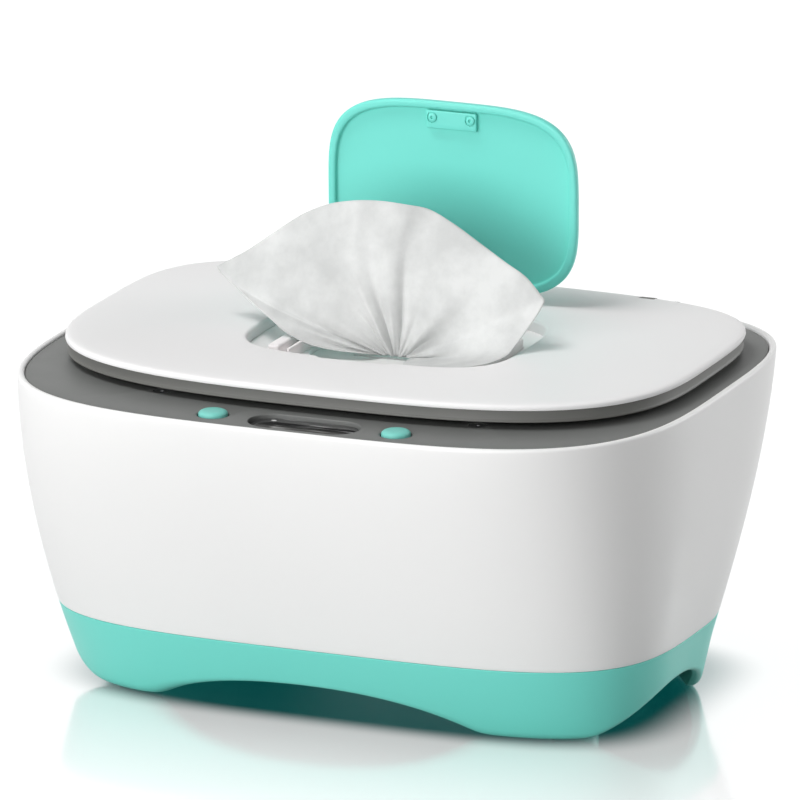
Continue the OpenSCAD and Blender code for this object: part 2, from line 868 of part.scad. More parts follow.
// Shallow dish under the recess, with a wide and a thin rib at each end and a long opening for the lips
module dispenser_plate() {
    top = flange_top;
    low = flange_top - dish_drop;
    mid_a = recess_a - 8.2;
    mid_b = recess_b - 10.6;
    function dish_ring(a, b, z) =
        at_height(moved(outline(a, b, b, flip_n, flip_n, dish_count), recess_y), z);
    rings = [dish_ring(slot_a, slot_b, low - dish_t), dish_ring(mid_a, mid_b, low + 1.6 - dish_t),
        dish_ring(recess_a + 0.6, recess_b + 0.6, top - dish_t),
        dish_ring(recess_a + 3.4, recess_b + 3.4, top - dish_t),
        dish_ring(recess_a + 3.4, recess_b + 3.4, top), dish_ring(recess_a - 1, recess_b - 1, top),
        dish_ring(mid_a, mid_b, low + 1.6), dish_ring(slot_a, slot_b, low)];
    color(white)
        about_widest() {
            wall(rings);
            for (side = [-1, 1], i = [0, 1])
                translate([side * rib_x[i] - rib_w[i] / 2, -rib_front, low + 0.1])
                    cube([rib_w[i], rib_front + rib_back, rib_top - i * 0.8 - low - 0.1]);
        }
}

// Soft lips with the slit that the wipe is pulled through
module dispenser_lips() {
    z = flange_top - dish_drop - dish_t - lip_t;
    color([0.86, 0.86, 0.85])
        about_widest()
            difference() {
                plate(moved(outline(slot_a + 3, slot_b + 3, slot_b + 3, flip_n, flip_n, dish_count),
                    recess_y), z, lip_t);
                translate([0, recess_y, z - past])
                    slot_bar(slit_w, slit_d, lip_t + 2 * past);
            }
}

module flip_hinge_pin() {
    color(steel)
        about_widest()
            translate([0, flip_pin_y, flip_pin_z])
                x_rod(flip_pin_r - 0.03, 2 * arm_x + 16);
}

// Turns the closed flip lid and what is on it to its open place
module flipped() {
    translate([0, flip_pin_y, flip_pin_z])
        rotate([-flip_open, 0, 0])
            translate([0, -flip_pin_y, -flip_pin_z])
                children();
}

// Teal flip lid: thin dished cover with a raised rim and two hinge arms
module flip_lid() {
    u = flip_under;
    t = flip_top;
    cover = [at_height(flip_outline(0.3), u), at_height(flip_outline(0), u + 0.5),
        at_height(flip_outline(0), t - 1.2), at_height(flip_outline(0.5), t - 0.5),
        at_height(flip_outline(1.6), t - 0.1), at_height(flip_outline(12), t + 0.2)];
    dish = [at_height(flip_outline(flip_rim - 0.4), u - past), at_height(flip_outline(flip_rim), u + 1.9)];
    color(teal)
        about_widest()
            flipped() {
                difference() {
                    stack(cover);
                    stack(dish);
                    for (side = [-1, 1])
                        translate([side * 7.3, flip_y - flip_b + 6, u])
                            cylinder(r = 0.8, h = 2.8);
                }
                for (side = [-1, 1])
                    translate([side * arm_x, 0, 0])
                        hinge_arm();
            }
}

// Arm from the flip lid's back edge down to its pin
module hinge_arm() {
    back = flip_y + flip_b;
    difference() {
        union() {
            translate([-arm_w / 2, back - 3.4, flip_under + 0.4])
                cube([arm_w, flip_pin_y + 1.1 - back + 3.4, 2.6]);
            translate([-arm_w / 2, flip_pin_y - 1.9, flip_pin_z])
                cube([arm_w, 3, flip_under + 1 - flip_pin_z]);
            translate([0, flip_pin_y, flip_pin_z])
                x_rod(eye_r, arm_w);
        }
        translate([0, flip_pin_y, flip_pin_z])
            x_rod(flip_pin_r + 0.03, 2 * arm_w);
    }
}

// Plate near the flip lid's front edge that clicks into the recess
module catch_plate() {
    color(teal)
        about_widest()
            flipped()
                difference() {
                    translate([-9.6, flip_y - flip_b + 3.4, flip_under + 0.1])
                        cube([19.2, 6.6, 1.8]);
                    for (side = [-1, 1])
                        translate([side * 7.3, flip_y - flip_b + 6, flip_under]) {
                            translate([0, 0, -past])
                                cylinder(r = 1.8, h = past + 0.8);
                            cylinder(r = 0.85, h = 3);
                        }
                }
}

module catch_screws() {
    color(teal)
        about_widest()
            flipped()
                for (side = [-1, 1])
                    translate([side * 7.3, flip_y - flip_b + 6, flip_under - 0.2])
                        screw(1.5, 1, 0.78, 1.9);
}

// Pulled-up wipe: reach of its edge at each angle round the slit, left low corner to right low corner
reach = [[8, 24], [12, 37], [25, 61], [46, 54.5], [70, 55], [89, 56.7], [106, 58.2], [121, 60.8], [137, 64.4],
    [152, 71], [160, 75.5], [167, 52], [172, 30]];
wipe_x = 0.5;
wipe_z = flange_top - dish_drop;
wipe_t = 1.2;
wipe_steps = 44;
wipe_rows = 8;
wipe_tail = wipe_z - tub_floor_z - 2.2 - stack_h - 0.3;

// A point of the sheet: u runs across the fan, v from the slit to the edge
function wipe_point(u, v, side) =
    let (angle = 8 + 164 * u,
        r = 3 + (lookup(angle, reach) - 3) * v,
        gather = min(1, v * 2.2),
        fold = 3.4 * sin(360 * 5.5 * u + 30) * gather * (1 - 0.55 * v),
        sway = 7 * pow(v, 1.5) * sin(200 * u - 30))
    [wipe_x + r * cos(angle), recess_y + fold + sway + side * wipe_t / 2,
        wipe_z + 0.6 + r * sin(angle) * (1 - 0.02 * v)];

module wipe() {
    n = wipe_steps + 1;
    m = wipe_rows + 1;
    grid = [for (side = [-1, 1], j = [0 : wipe_rows], i = [0 : wipe_steps])
        wipe_point(i / wipe_steps, j / wipe_rows, side)];
    far = n * m;
    sheets = [for (j = [0 : wipe_rows - 1], i = [0 : wipe_steps - 1])
        let (a = j * n + i, b = a + 1, c = a + n + 1, d = a + n)
        each [[a, b, c], [a, c, d], [far + a, far + c, far + b], [far + a, far + d, far + c]]];
    low_edge = [for (i = [0 : wipe_steps - 1]) each [[i, far + i, far + i + 1], [i, far + i + 1, i + 1]]];
    top = wipe_rows * n;
    top_edge = [for (i = [0 : wipe_steps - 1])
        each [[top + i, top + i + 1, far + top + i + 1], [top + i, far + top + i + 1, far + top + i]]];
    ends = [for (j = [0 : wipe_rows - 1])
        let (a = j * n, d = a + n, b = a + wipe_steps, c = d + wipe_steps)
        each [[a, d, far + d], [a, far + d, far + a], [b, far + b, far + c], [b, far + c, c]]];
    color(cloth)
        about_widest() {
            polyhedron(grid, concat(sheets, low_edge, top_edge, ends), convexity = 10);
            translate([wipe_x, recess_y, wipe_z - wipe_tail])
                cylinder(r = 2.6, h = wipe_tail + 3.4, $fn = 20);
        }
}

base_tray();
rubber_feet();
base_screws();
outer_shell();
inner_tub();
bezel_ring();
bezel_screws();
heater_plate();
heating_film();
insulation_pad();
heater_retainer();
retainer_screws();
temperature_sensor();
thermal_fuse();
control_board();
board_screws();
tact_switches();
display_module();
display_window();
dc_jack();
wire_harness();
lid_hinge_pins();
wipe_stack();
lid_panel();
lid_frame();
lid_screws();
lid_seal();
dispenser_plate();
dispenser_lips();
flip_hinge_pin();
wipe();
flip_lid();
catch_plate();
catch_screws();
button_left();
button_right();
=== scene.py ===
import math

import bmesh
import bpy
import numpy as np
from mathutils import Matrix, Vector


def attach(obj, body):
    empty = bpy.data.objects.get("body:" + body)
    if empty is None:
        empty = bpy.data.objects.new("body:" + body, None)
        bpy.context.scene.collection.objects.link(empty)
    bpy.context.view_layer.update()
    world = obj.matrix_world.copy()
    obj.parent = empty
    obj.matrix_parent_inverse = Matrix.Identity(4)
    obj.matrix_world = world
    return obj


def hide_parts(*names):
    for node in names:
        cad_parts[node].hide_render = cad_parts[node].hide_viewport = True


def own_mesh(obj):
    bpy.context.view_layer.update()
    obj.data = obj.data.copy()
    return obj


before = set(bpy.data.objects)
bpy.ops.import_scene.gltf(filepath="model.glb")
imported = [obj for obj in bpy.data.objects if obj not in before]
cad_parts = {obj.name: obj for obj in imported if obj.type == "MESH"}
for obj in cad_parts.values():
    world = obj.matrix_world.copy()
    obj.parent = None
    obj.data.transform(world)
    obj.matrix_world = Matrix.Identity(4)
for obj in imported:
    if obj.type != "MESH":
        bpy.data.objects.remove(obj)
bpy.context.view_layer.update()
mm = 0.001

# Camera: a long lens far off, turned to the right of the front and a little above the rim,
# at the angle the photo was taken from. The small shift keeps the photo's framing.
view_turn, view_rise, view_roll = 0.4012, 0.2757, -0.0066
view_reach = 3.79698
view_aim = Vector((1.164 * mm, 6.35 * mm, 98.216 * mm))
view_back = Vector((
    math.sin(view_turn) * math.cos(view_rise),
    -math.cos(view_turn) * math.cos(view_rise),
    math.sin(view_rise),
))
level_right = Vector((0, 0, 1)).cross(view_back).normalized()
level_up = view_back.cross(level_right)
view_right = level_right * math.cos(view_roll) + level_up * math.sin(view_roll)
view_up = level_up * math.cos(view_roll) - level_right * math.sin(view_roll)
camera = bpy.data.objects.new("camera", bpy.data.cameras.new("camera"))
bpy.context.collection.objects.link(camera)
axes = Matrix((view_right, view_up, view_back)).transposed().to_4x4()
camera.matrix_world = Matrix.Translation(view_aim + view_back * view_reach) @ axes
camera.data.lens = 480.59
camera.data.sensor_width = 36
camera.data.shift_x = -0.004336
camera.data.shift_y = 0.00888
camera.data.clip_end = 30
bpy.context.scene.camera = camera


class Link:
    """One output of a node. Arithmetic on it adds Math nodes to the same graph."""

    def __init__(self, graph, node, socket):
        self.graph, self.node, self.socket = graph, node, socket

    def __getitem__(self, name):
        return Link(self.graph, self.node, self.node.outputs[name])

    def maths(self, operation, other=0.0):
        return self.graph.add("ShaderNodeMath", {"operation": operation}, {0: self, 1: other})

    def after(self, operation, other):
        return self.graph.add("ShaderNodeMath", {"operation": operation}, {0: other, 1: self})

    def __add__(self, other):
        return self.maths("ADD", other)

    def __radd__(self, other):
        return self.maths("ADD", other)

    def __sub__(self, other):
        return self.maths("SUBTRACT", other)

    def __rsub__(self, other):
        return self.after("SUBTRACT", other)

    def __mul__(self, other):
        return self.maths("MULTIPLY", other)

    def __rmul__(self, other):
        return self.maths("MULTIPLY", other)

    def __truediv__(self, other):
        return self.maths("DIVIDE", other)

    def __rtruediv__(self, other):
        return self.after("DIVIDE", other)

    def __pow__(self, other):
        return self.maths("POWER", other)

    def __lt__(self, other):
        return self.maths("LESS_THAN", other)


class Graph:
    """A node tree that is filled through one method."""

    def __init__(self, tree):
        self.tree = tree

    def add(self, kind, settings=None, inputs=None):
        node = self.tree.nodes.new(kind)
        for key, value in (settings or {}).items():
            if key == "stops":
                ramp = node.color_ramp
                while len(ramp.elements) < len(value):
                    ramp.elements.new(0.5)
                for element, (place, shade) in zip(ramp.elements, value):
                    element.position = place
                    element.color = (*shade, 1) if len(shade) == 3 else shade
            else:
                setattr(node, key, value)
        for key, value in (inputs or {}).items():
            socket = node.inputs[key]
            if isinstance(value, Link):
                self.tree.links.new(value.socket, socket)
            else:
                socket.default_value = value
        return Link(self, node, node.outputs[0] if node.outputs else None)


def blank_material(name):
    material = bpy.data.materials.new(name)
    material.use_nodes = True
    material.node_tree.nodes.clear()
    return material, Graph(material.node_tree)


# Studio: a glossy white table top that mirrors the base softly, and a plain white surround.
# One broad lamp stands in front, a little to the left, one hangs overhead and one from behind
# lights the right side. The white of table and surround is seen, but hardly lights the object.
floor_mesh = bpy.data.meshes.new("table_top")
floor_mesh.from_pydata([(-4, -4, 0), (4, -4, 0), (4, 4, 0), (-4, 4, 0)], [], [(0, 1, 2, 3)])
table_top = bpy.data.objects.new("table_top", floor_mesh)
bpy.context.collection.objects.link(table_top)
floor_paint, g = blank_material("table_top")
# Footprint of the painted shadow under the base, in metres.
base_half_w, base_half_d, base_middle_y = 0.110, 0.0672, 0.0088


def seen_ray(g):
    """1 for the rays that show the table and the surround, 0 for those that light the object."""
    path = g.add("ShaderNodeLightPath")
    mirrored = path["Is Camera Ray"].maths("MAXIMUM", path["Is Glossy Ray"])
    return mirrored.maths("MAXIMUM", path["Is Transmission Ray"])


seen = seen_ray(g)
spot = g.add("ShaderNodeSeparateXYZ", {}, {0: g.add("ShaderNodeTexCoord")["Object"]})
sideways = (spot["X"] / base_half_w).maths("ABSOLUTE")
forward = ((spot["Y"] - base_middle_y) / base_half_d).maths("ABSOLUTE")
far = (sideways**4 + forward**4) ** 0.25
# Painted shadow: under the base's footprint the table's glow turns dark teal, a painted contact shadow with
# painted teal bounce light. The glow also rises a little away from the base, a painted shade near it.
outside_painted_shadow = g.add("ShaderNodeMapRange", {"interpolation_type": "SMOOTHSTEP"}, {
    "Value": far, "From Min": 0.92, "From Max": 1.16,
})
away = g.add("ShaderNodeMapRange", {}, {"Value": far, "From Min": 1.0, "From Max": 2.6})
painted_shadow_under_base, clear_white = (0.0, 0.08, 0.08, 1), (1, 1, 1, 1)
painted_shadow_colour = g.add("ShaderNodeMix", {"data_type": "RGBA"}, {0: outside_painted_shadow, 6: painted_shadow_under_base, 7: clear_white})
matt = g.add("ShaderNodeBsdfDiffuse", {}, {"Color": (0.45, 0.45, 0.45, 1)})
white = g.add("ShaderNodeEmission", {}, {
    "Color": Link(g, painted_shadow_colour.node, painted_shadow_colour.node.outputs[2]), "Strength": away * 0.12 + 1.19,
})
lit = g.add("ShaderNodeMixShader", {}, {0: outside_painted_shadow * -0.14 + 0.96, 1: matt, 2: white})
mirror = g.add("ShaderNodeBsdfAnisotropic", {}, {"Color": (0.96, 1, 1, 1), "Roughness": 0.13})
polished = g.add("ShaderNodeMixShader", {}, {0: away * -0.3 + 0.5, 1: lit, 2: mirror})
shown = g.add("ShaderNodeMixShader", {}, {0: seen, 1: matt, 2: polished})
g.add("ShaderNodeOutputMaterial", {}, {"Surface": shown})
floor_mesh.materials.append(floor_paint)

world = bpy.data.worlds.new("surround")
bpy.context.scene.world = world
world.use_nodes = True
world.node_tree.nodes.clear()
g = Graph(world.node_tree)
seen = seen_ray(g)
side = g.add("ShaderNodeSeparateXYZ", {}, {0: g.add("ShaderNodeTexCoord")["Generated"]})["X"]
dim = 0.18 - side * 0.12
strength = dim + seen * (1 - dim)
air = g.add("ShaderNodeBackground", {}, {"Color": (1, 1, 1, 1), "Strength": strength})
g.add("ShaderNodeOutputWorld", {}, {"Surface": air})

lamp_aim = Vector((0, 0, 0.08))
for name, place, size, watts in (
    ("key_lamp", (-0.34, -2.00, 0.33), 1.7, 51.0),
    ("top_lamp", (-0.52, -0.34, 1.5), 0.65, 12.9),
    ("fill_lamp", (1.00, 1.10, 0.45), 0.9, 11.5),
):
    lamp = bpy.data.objects.new(name, bpy.data.lights.new(name, "AREA"))
    lamp.data.size = size
    lamp.data.energy = watts
    bpy.context.collection.objects.link(lamp)
    facing = (Vector(place) - lamp_aim).to_track_quat("Z", "Y").to_matrix().to_4x4()
    lamp.matrix_world = Matrix.Translation(place) @ facing
bpy.context.scene.view_settings.view_transform = "Standard"


# Body wall: one white moulding of satin ABS from the seam up to the rounded rim, with a ledge
# inside that carries the tub. A node tree sweeps its section round the body's outline, whose
# reach and roundness change with the drop below the rim. Sizes are in mm.
body_w, body_front, body_back = 250.6, 108.7, 96.0
rim_z, seam_z, ledge_z, wall_t = 117.8, 30.2, 112.4, 2.3
widest_y = (body_front - body_back) / 2
side_draw, front_draw, back_draw = 15.0, 44.0, 26.5
side_curve, front_curve, back_curve = 1.9, 1.5, 1.6
front_round, front_round_gain = 3.55, 0.55
back_round, back_round_loss, back_round_least = 4.0, 2.46, 2.0


def moulded(name, colour, rough, coat=0.0, grain=0.02, mottle=0.02, gloss=0.5):
    """Injection-moulded plastic: fine spark texture, slight flow shade and polish that varies."""
    material, g = blank_material(name)
    place = g.add("ShaderNodeTexCoord")["Object"]
    broad = g.add("ShaderNodeTexNoise", {}, {"Vector": place, "Scale": 9.0, "Detail": 3.0})
    fine = g.add("ShaderNodeTexNoise", {}, {"Vector": place, "Scale": 2600.0, "Detail": 2.0})
    rub = g.add("ShaderNodeTexNoise", {}, {"Vector": place, "Scale": 60.0, "Detail": 5.0})
    dark = tuple(c * (1 - mottle) for c in colour)
    shade = g.add("ShaderNodeMix", {"data_type": "RGBA"}, {0: broad, 6: (*dark, 1), 7: (*colour, 1)})
    relief = g.add("ShaderNodeBump", {}, {"Strength": grain, "Distance": 0.0002, "Height": fine})
    skin_shader = g.add("ShaderNodeBsdfPrincipled", {}, {
        "Base Color": Link(g, shade.node, shade.node.outputs[2]),
        "Roughness": (rub - 0.5) * 0.12 + rough,
        "Normal": relief,
        "Specular IOR Level": gloss,
        "Coat Weight": coat,
        "Coat Roughness": 0.12,
    })
    g.add("ShaderNodeOutputMaterial", {}, {"Surface": skin_shader})
    return material


def smooth(piece, angle=35):
    """Joins loose points, turns faces outwards and keeps only the edges sharper than the angle."""
    b = bmesh.new()
    b.from_mesh(piece.data)
    bmesh.ops.remove_doubles(b, verts=b.verts, dist=1e-6)
    bmesh.ops.recalc_face_normals(b, faces=b.faces)
    for face in b.faces:
        face.smooth = True
    b.to_mesh(piece.data)
    b.free()
    piece.data.set_sharp_from_angle(angle=math.radians(angle))
    return piece


def new_piece(name, points, faces, edges=()):
    mesh = bpy.data.meshes.new(name)
    mesh.from_pydata([tuple(p) for p in points], list(edges), list(faces))
    piece = bpy.data.objects.new(name, mesh)
    bpy.context.collection.objects.link(piece)
    return piece


def as_mesh(piece):
    """The piece with its modifiers worked into a plain mesh."""
    made = bpy.data.meshes.new_from_object(piece.evaluated_get(bpy.context.evaluated_depsgraph_get()))
    piece.modifiers.clear()
    piece.data = made
    return piece


def fitted(piece, body, slot, material, *nodes):
    """Gives a finished piece its material and its body, and hides the solids that it stands for.

    Pieces are drawn about the body's widest line and are moved to its place here. The slot is not used."""
    piece.data.transform(Matrix.Translation((0, widest_y * mm, 0)))
    piece.data.materials.clear()
    piece.data.materials.append(material)
    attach(piece, body)
    if nodes:
        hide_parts(*nodes)
    return piece


def tree_inputs(tree, names):
    for name, kind in names:
        tree.interface.new_socket(name, in_out="INPUT", socket_type=kind)
    tree.interface.new_socket("Geometry", in_out="OUTPUT", socket_type="NodeSocketGeometry")


def set_inputs(modifier, values):
    """Sets a tree's inputs by the sockets' identifiers."""
    for item in modifier.node_group.interface.items_tree:
        if item.item_type == "SOCKET" and item.in_out == "INPUT" and item.name in values:
            modifier[item.identifier] = values[item.name]


white_abs = moulded("white_abs", (0.84, 0.84, 0.835), 0.36, coat=0.05, gloss=0.4)

sweep = bpy.data.node_groups.new("Body wall", "GeometryNodeTree")
tree_inputs(sweep, [
    ("Section", "NodeSocketGeometry"), ("Rows", "NodeSocketInt"), ("Points round", "NodeSocketInt"),
    ("Half width", "NodeSocketFloat"), ("Front reach", "NodeSocketFloat"), ("Back reach", "NodeSocketFloat"),
    ("Rim height", "NodeSocketFloat"),
    ("Side draw", "NodeSocketFloat"), ("Front draw", "NodeSocketFloat"), ("Back draw", "NodeSocketFloat"),
    ("Material", "NodeSocketMaterial"),
])
g = Graph(sweep)
given = g.add("NodeGroupInput")
lattice = g.add("GeometryNodeMeshGrid", {}, {
    "Size X": 1.0, "Size Y": 1.0, "Vertices X": given["Points round"] + 1, "Vertices Y": given["Rows"],
})
here = g.add("GeometryNodeInputPosition")
share = g.add("ShaderNodeSeparateXYZ", {}, {0: here})
row = ((share["Y"] + 0.5) * (given["Rows"] - 1) + 0.5).maths("FLOOR")
corner = g.add("GeometryNodeSampleIndex", {"data_type": "FLOAT_VECTOR", "domain": "POINT"}, {
    "Geometry": given["Section"], "Value": here, "Index": row,
})
corner = g.add("ShaderNodeSeparateXYZ", {}, {0: corner})
inset, height = corner["X"], corner["Z"]
drop = 1 - height / given["Rim height"]
turn = (share["X"] + 0.5) * (2 * math.pi)
across, along = turn.maths("COSINE"), turn.maths("SINE")
at_front = along < 0
front = given["Front reach"] - given["Front draw"] * drop**front_curve
rear = given["Back reach"] - given["Back draw"] * drop**back_curve
side = given["Half width"] - given["Side draw"] * drop**side_curve - inset
reach = rear + at_front * (front - rear) - inset
n_rear = (back_round - back_round_loss * drop).maths("MAXIMUM", back_round_least)
power = n_rear + at_front * (front_round + front_round_gain * drop - n_rear)
radius = (
    (across.maths("ABSOLUTE") / side) ** power + (along.maths("ABSOLUTE") / reach) ** power
) ** (-1 / power)
spot = g.add("ShaderNodeCombineXYZ", {}, {"X": radius * across, "Y": radius * along, "Z": height})
swept = g.add("GeometryNodeSetPosition", {}, {"Geometry": lattice, "Position": spot})
closed = g.add("GeometryNodeMergeByDistance", {}, {"Geometry": swept, "Distance": 0.00001})
real = g.add("GeometryNodeRealizeInstances", {}, {"Geometry": closed})
painted = g.add("GeometryNodeSetMaterial", {}, {"Geometry": real, "Material": given["Material"]})
g.add("NodeGroupOutput", {}, {"Geometry": painted})

wall_section = (
    [(0.5, seam_z), (0.15, 30.22), (0.03, 30.4)]
    + [(0, z) for z in (31.2, 33, *range(36, 113, 4), 115, 116.4)]
    + [(0.05, 116.9), (0.2, 117.3), (0.45, 117.6), (0.8, 117.75), (1.2, rim_z), (1.6, 117.72)]
    + [(1.95, 117.5), (2.2, 117.15), (wall_t, 116.7), (wall_t, 114.6), (wall_t, ledge_z)]
    + [(5.6, ledge_z), (5.6, 110.4)]
    + [(wall_t, z) for z in (106.4, 98, 88, 76, 64, 52, 41, 31.4)]
    + [(1.1, 31.4), (1.1, seam_z), (0.5, seam_z)]
)
body_wall = new_piece(
    "body_wall", [(i * mm, 0, z * mm) for i, z in wall_section], [],
    [(i, i + 1) for i in range(len(wall_section) - 1)],
)
modifier = body_wall.modifiers.new("sweep", "NODES")
modifier.node_group = sweep
set_inputs(modifier, {
    "Rows": len(wall_section), "Points round": 320, "Half width": body_w / 2 * mm,
    "Front reach": body_front * mm, "Back reach": body_back * mm, "Rim height": rim_z * mm,
    "Side draw": side_draw * mm, "Front draw": front_draw * mm, "Back draw": back_draw * mm,
    "Material": white_abs,
})
smooth(as_mesh(body_wall), 40)
fitted(body_wall, "body", "white_shell", white_abs, "outer_shell")


# Base: teal moulding with low arches between four feet. The lower edge follows the arches and is
# rounded over, and the wall turns in to a flat floor, with a round hole for the power inlet.
skirt_z, floor_low, floor_high = 0.6, 17.0, 19.4
arch_w, arch_h, arch_x = 132.0, 13.6, -7.0
side_arch_w, side_arch_h, side_arch_y = 72.0, 15.8, -18.0
arch_curve, soft_end, bend = 2.2, 1.6, 4.0
seam_top, lip_top, base_wall = seam_z - 0.15, 31.2, 2.8
inlet_z, inlet_r = 24.3, 4.6
turns = np.linspace(0, 2 * math.pi, 400, endpoint=False)


def outline_reach(turn, half, front, back, n_front, n_back):
    """Distance from the middle to a rounded outline, at each angle."""
    c, s = np.abs(np.cos(turn)), np.sin(turn)
    n = np.where(s < 0, n_front, n_back)
    return ((c / half) ** n + (np.abs(s) / np.where(s < 0, front, back)) ** n) ** (-1 / n)


def body_reach(turn, z, inset):
    """The body's outline at a height in mm, moved in by the inset."""
    drop = np.maximum(0, 1 - z / rim_z)
    half = body_w / 2 - side_draw * drop**side_curve - inset
    front = body_front - front_draw * drop**front_curve - inset
    back = body_back - back_draw * drop**back_curve - inset
    n_back = np.maximum(back_round_least, back_round - back_round_loss * drop)
    return outline_reach(turn, half, front, back, front_round + front_round_gain * drop, n_back)


def ring(turn, reach, z, y=0.0):
    """Points of a ring, in metres, from sizes in mm."""
    z = np.broadcast_to(z, turn.shape)
    return np.stack([reach * np.cos(turn), reach * np.sin(turn) + y, z], 1) * mm


def skin(name, rings, closed=False):
    """A mesh through rings of equally many points. Closed joins the last ring to the first."""
    count, levels = len(rings[0]), len(rings)
    faces = []
    for j in range(levels if closed else levels - 1):
        k = (j + 1) % levels
        for i in range(count):
            n = (i + 1) % count
            faces.append((j * count + i, j * count + n, k * count + n, k * count + i))
    if not closed:
        faces.append(tuple(range(count)))
        faces.append(tuple((levels - 1) * count + i for i in range(count)))
    return new_piece(name, np.concatenate(rings), faces)


def cut_with(piece, cutters):
    """Cuts the cutters out of the piece and uses them up."""
    for cutter in cutters:
        smooth(cutter)
        modifier = piece.modifiers.new("cut", "BOOLEAN")
        modifier.operation = "DIFFERENCE"
        modifier.solver = "EXACT"
        modifier.object = cutter
    as_mesh(piece)
    for cutter in cutters:
        bpy.data.objects.remove(cutter)
    return piece


def turned(name, profile, place, axis=(0, 0, 1), count=64):
    """A round piece from its profile of (radius, height) in mm, standing at place along axis."""
    around = np.linspace(0, 2 * math.pi, count, endpoint=False)
    rings = [ring(around, np.full(count, max(r, 0.001)), z) for r, z in profile]
    piece = skin(name, rings)
    turn = Vector(axis).to_track_quat("Z", "Y").to_matrix().to_4x4()
    piece.data.transform(Matrix.Translation(Vector(place) * mm) @ turn)
    return piece


def block(name, low, high, round_by=0.0):
    """A straight block between two corners in mm, with its edges rounded."""
    low, high = np.array(low, float) * mm, np.array(high, float) * mm
    b = bmesh.new()
    to_size = Matrix.Translation((low + high) / 2) @ Matrix.Diagonal((*(high - low), 1))
    bmesh.ops.create_cube(b, size=1, matrix=to_size)
    if round_by:
        bmesh.ops.bevel(b, geom=b.edges, offset=round_by * mm, segments=3, profile=0.5, affect="EDGES")
    mesh = bpy.data.meshes.new(name)
    b.to_mesh(mesh)
    b.free()
    piece = bpy.data.objects.new(name, mesh)
    bpy.context.collection.objects.link(piece)
    return piece


def joined(name, parts):
    """Several meshes as one piece."""
    b = bmesh.new()
    for part in parts:
        b.from_mesh(part.data)
        bpy.data.objects.remove(part)
    mesh = bpy.data.meshes.new(name)
    b.to_mesh(mesh)
    b.free()
    piece = bpy.data.objects.new(name, mesh)
    bpy.context.collection.objects.link(piece)
    return piece


teal_abs = moulded("teal_abs", (0.17, 0.70, 0.61), 0.4, mottle=0.03, gloss=0.3)
edge = body_reach(turns, 4.0, 0)
edge_x, edge_y = edge * np.cos(turns), edge * np.sin(turns)
arch_share = 1 - (np.abs(edge_x - arch_x) / (arch_w / 2)) ** arch_curve
side_share = 1 - (np.abs(edge_y - side_arch_y) / (side_arch_w / 2)) ** arch_curve
arch = np.maximum(arch_h * arch_share, side_arch_h * side_share)
arch = (arch + np.sqrt(arch**2 + soft_end**2)) / 2
low = skirt_z + arch
tight = 1 - 0.6 * np.clip(arch / arch_h, 0, 1)
rows = [(3.4, 0), (2.5, 0.12), (1.6, 0.42), (0.95, 0.95), (0.45, 1.7), (0.15, 2.6), (0, bend)]
rings = [ring(turns, body_reach(turns, low + up * tight, i * tight), low + up * tight) for i, up in rows]
for step in (0.15, 0.3, 0.45, 0.6, 0.75, 0.9):
    z = (low + bend * tight) * (1 - step) + (seam_top - 0.6) * step
    rings.append(ring(turns, body_reach(turns, z, 0), z))
for i, z in (
    (0, seam_top - 0.6), (0.05, seam_top - 0.2), (0.2, seam_top), (1.2, seam_top), (1.2, lip_top),
    (base_wall, lip_top), (base_wall, 24), (base_wall, floor_high),
):
    rings.append(ring(turns, body_reach(turns, z, i), z))
inner = []
for i, up in ((4.6, 0.15), (4.8, 1.4)):
    z = np.minimum(low + up * tight, floor_low - 0.1)
    inner.append(ring(turns, body_reach(turns, z, i * tight + 1.2 * (1 - tight)), z))
inner.append(ring(turns, body_reach(turns, floor_low, 3.4), floor_low))
rings = inner[::-1] + rings
base = skin("base", rings)
base = cut_with(base, [turned("hole", [(inlet_r, 0), (inlet_r, 40)], (0, 50, inlet_z), (0, 1, 0))])
smooth(base, 38)
fitted(base, "body", "teal_plastic", teal_abs, "base_tray")


# Foot posts: four round posts under the floor, each open below for a rubber foot and a screw.
# One node tree sets the same turned post at the four places.
post_section = [
    (6.65, 0.9), (6.9, 0.65), (7.7, 0.65), (8.0, 0.95), (8.0, floor_low + 0.1), (1.7, floor_low + 0.1),
    (1.7, 8.4), (3.4, 8.4), (3.4, 3.0), (6.65, 3.0),
]
around = np.linspace(0, 2 * math.pi, 48, endpoint=False)
post = skin("post", [ring(around, np.full(48, r), z) for r, z in post_section], closed=True)
smooth(post)
repeat = bpy.data.node_groups.new("Same piece at each place", "GeometryNodeTree")
tree_inputs(repeat, [
    ("Places", "NodeSocketGeometry"), ("Piece", "NodeSocketObject"), ("Material", "NodeSocketMaterial"),
])
g = Graph(repeat)
given = g.add("NodeGroupInput")
source = g.add("GeometryNodeObjectInfo", {}, {"Object": given["Piece"]})
copies = g.add("GeometryNodeInstanceOnPoints", {}, {
    "Points": given["Places"], "Instance": source["Geometry"],
})
real = g.add("GeometryNodeRealizeInstances", {}, {"Geometry": copies})
painted = g.add("GeometryNodeSetMaterial", {}, {"Geometry": real, "Material": given["Material"]})
g.add("NodeGroupOutput", {}, {"Geometry": painted})


def repeated(name, piece, places, material):
    """The piece at each place, in mm, as one mesh. The first piece is used up."""
    made = new_piece(name, np.array(places, float) * mm, [])
    modifier = made.modifiers.new("repeat", "NODES")
    modifier.node_group = repeat
    set_inputs(modifier, {"Piece": piece, "Material": material})
    as_mesh(made)
    bpy.data.objects.remove(piece)
    return smooth(made)


legs = [(84, -42, 0), (-84, -42, 0), (74, 36, 0), (-74, 36, 0)]
posts = repeated("foot_posts", post, legs, teal_abs)
fitted(posts, "body", "teal_plastic", teal_abs)


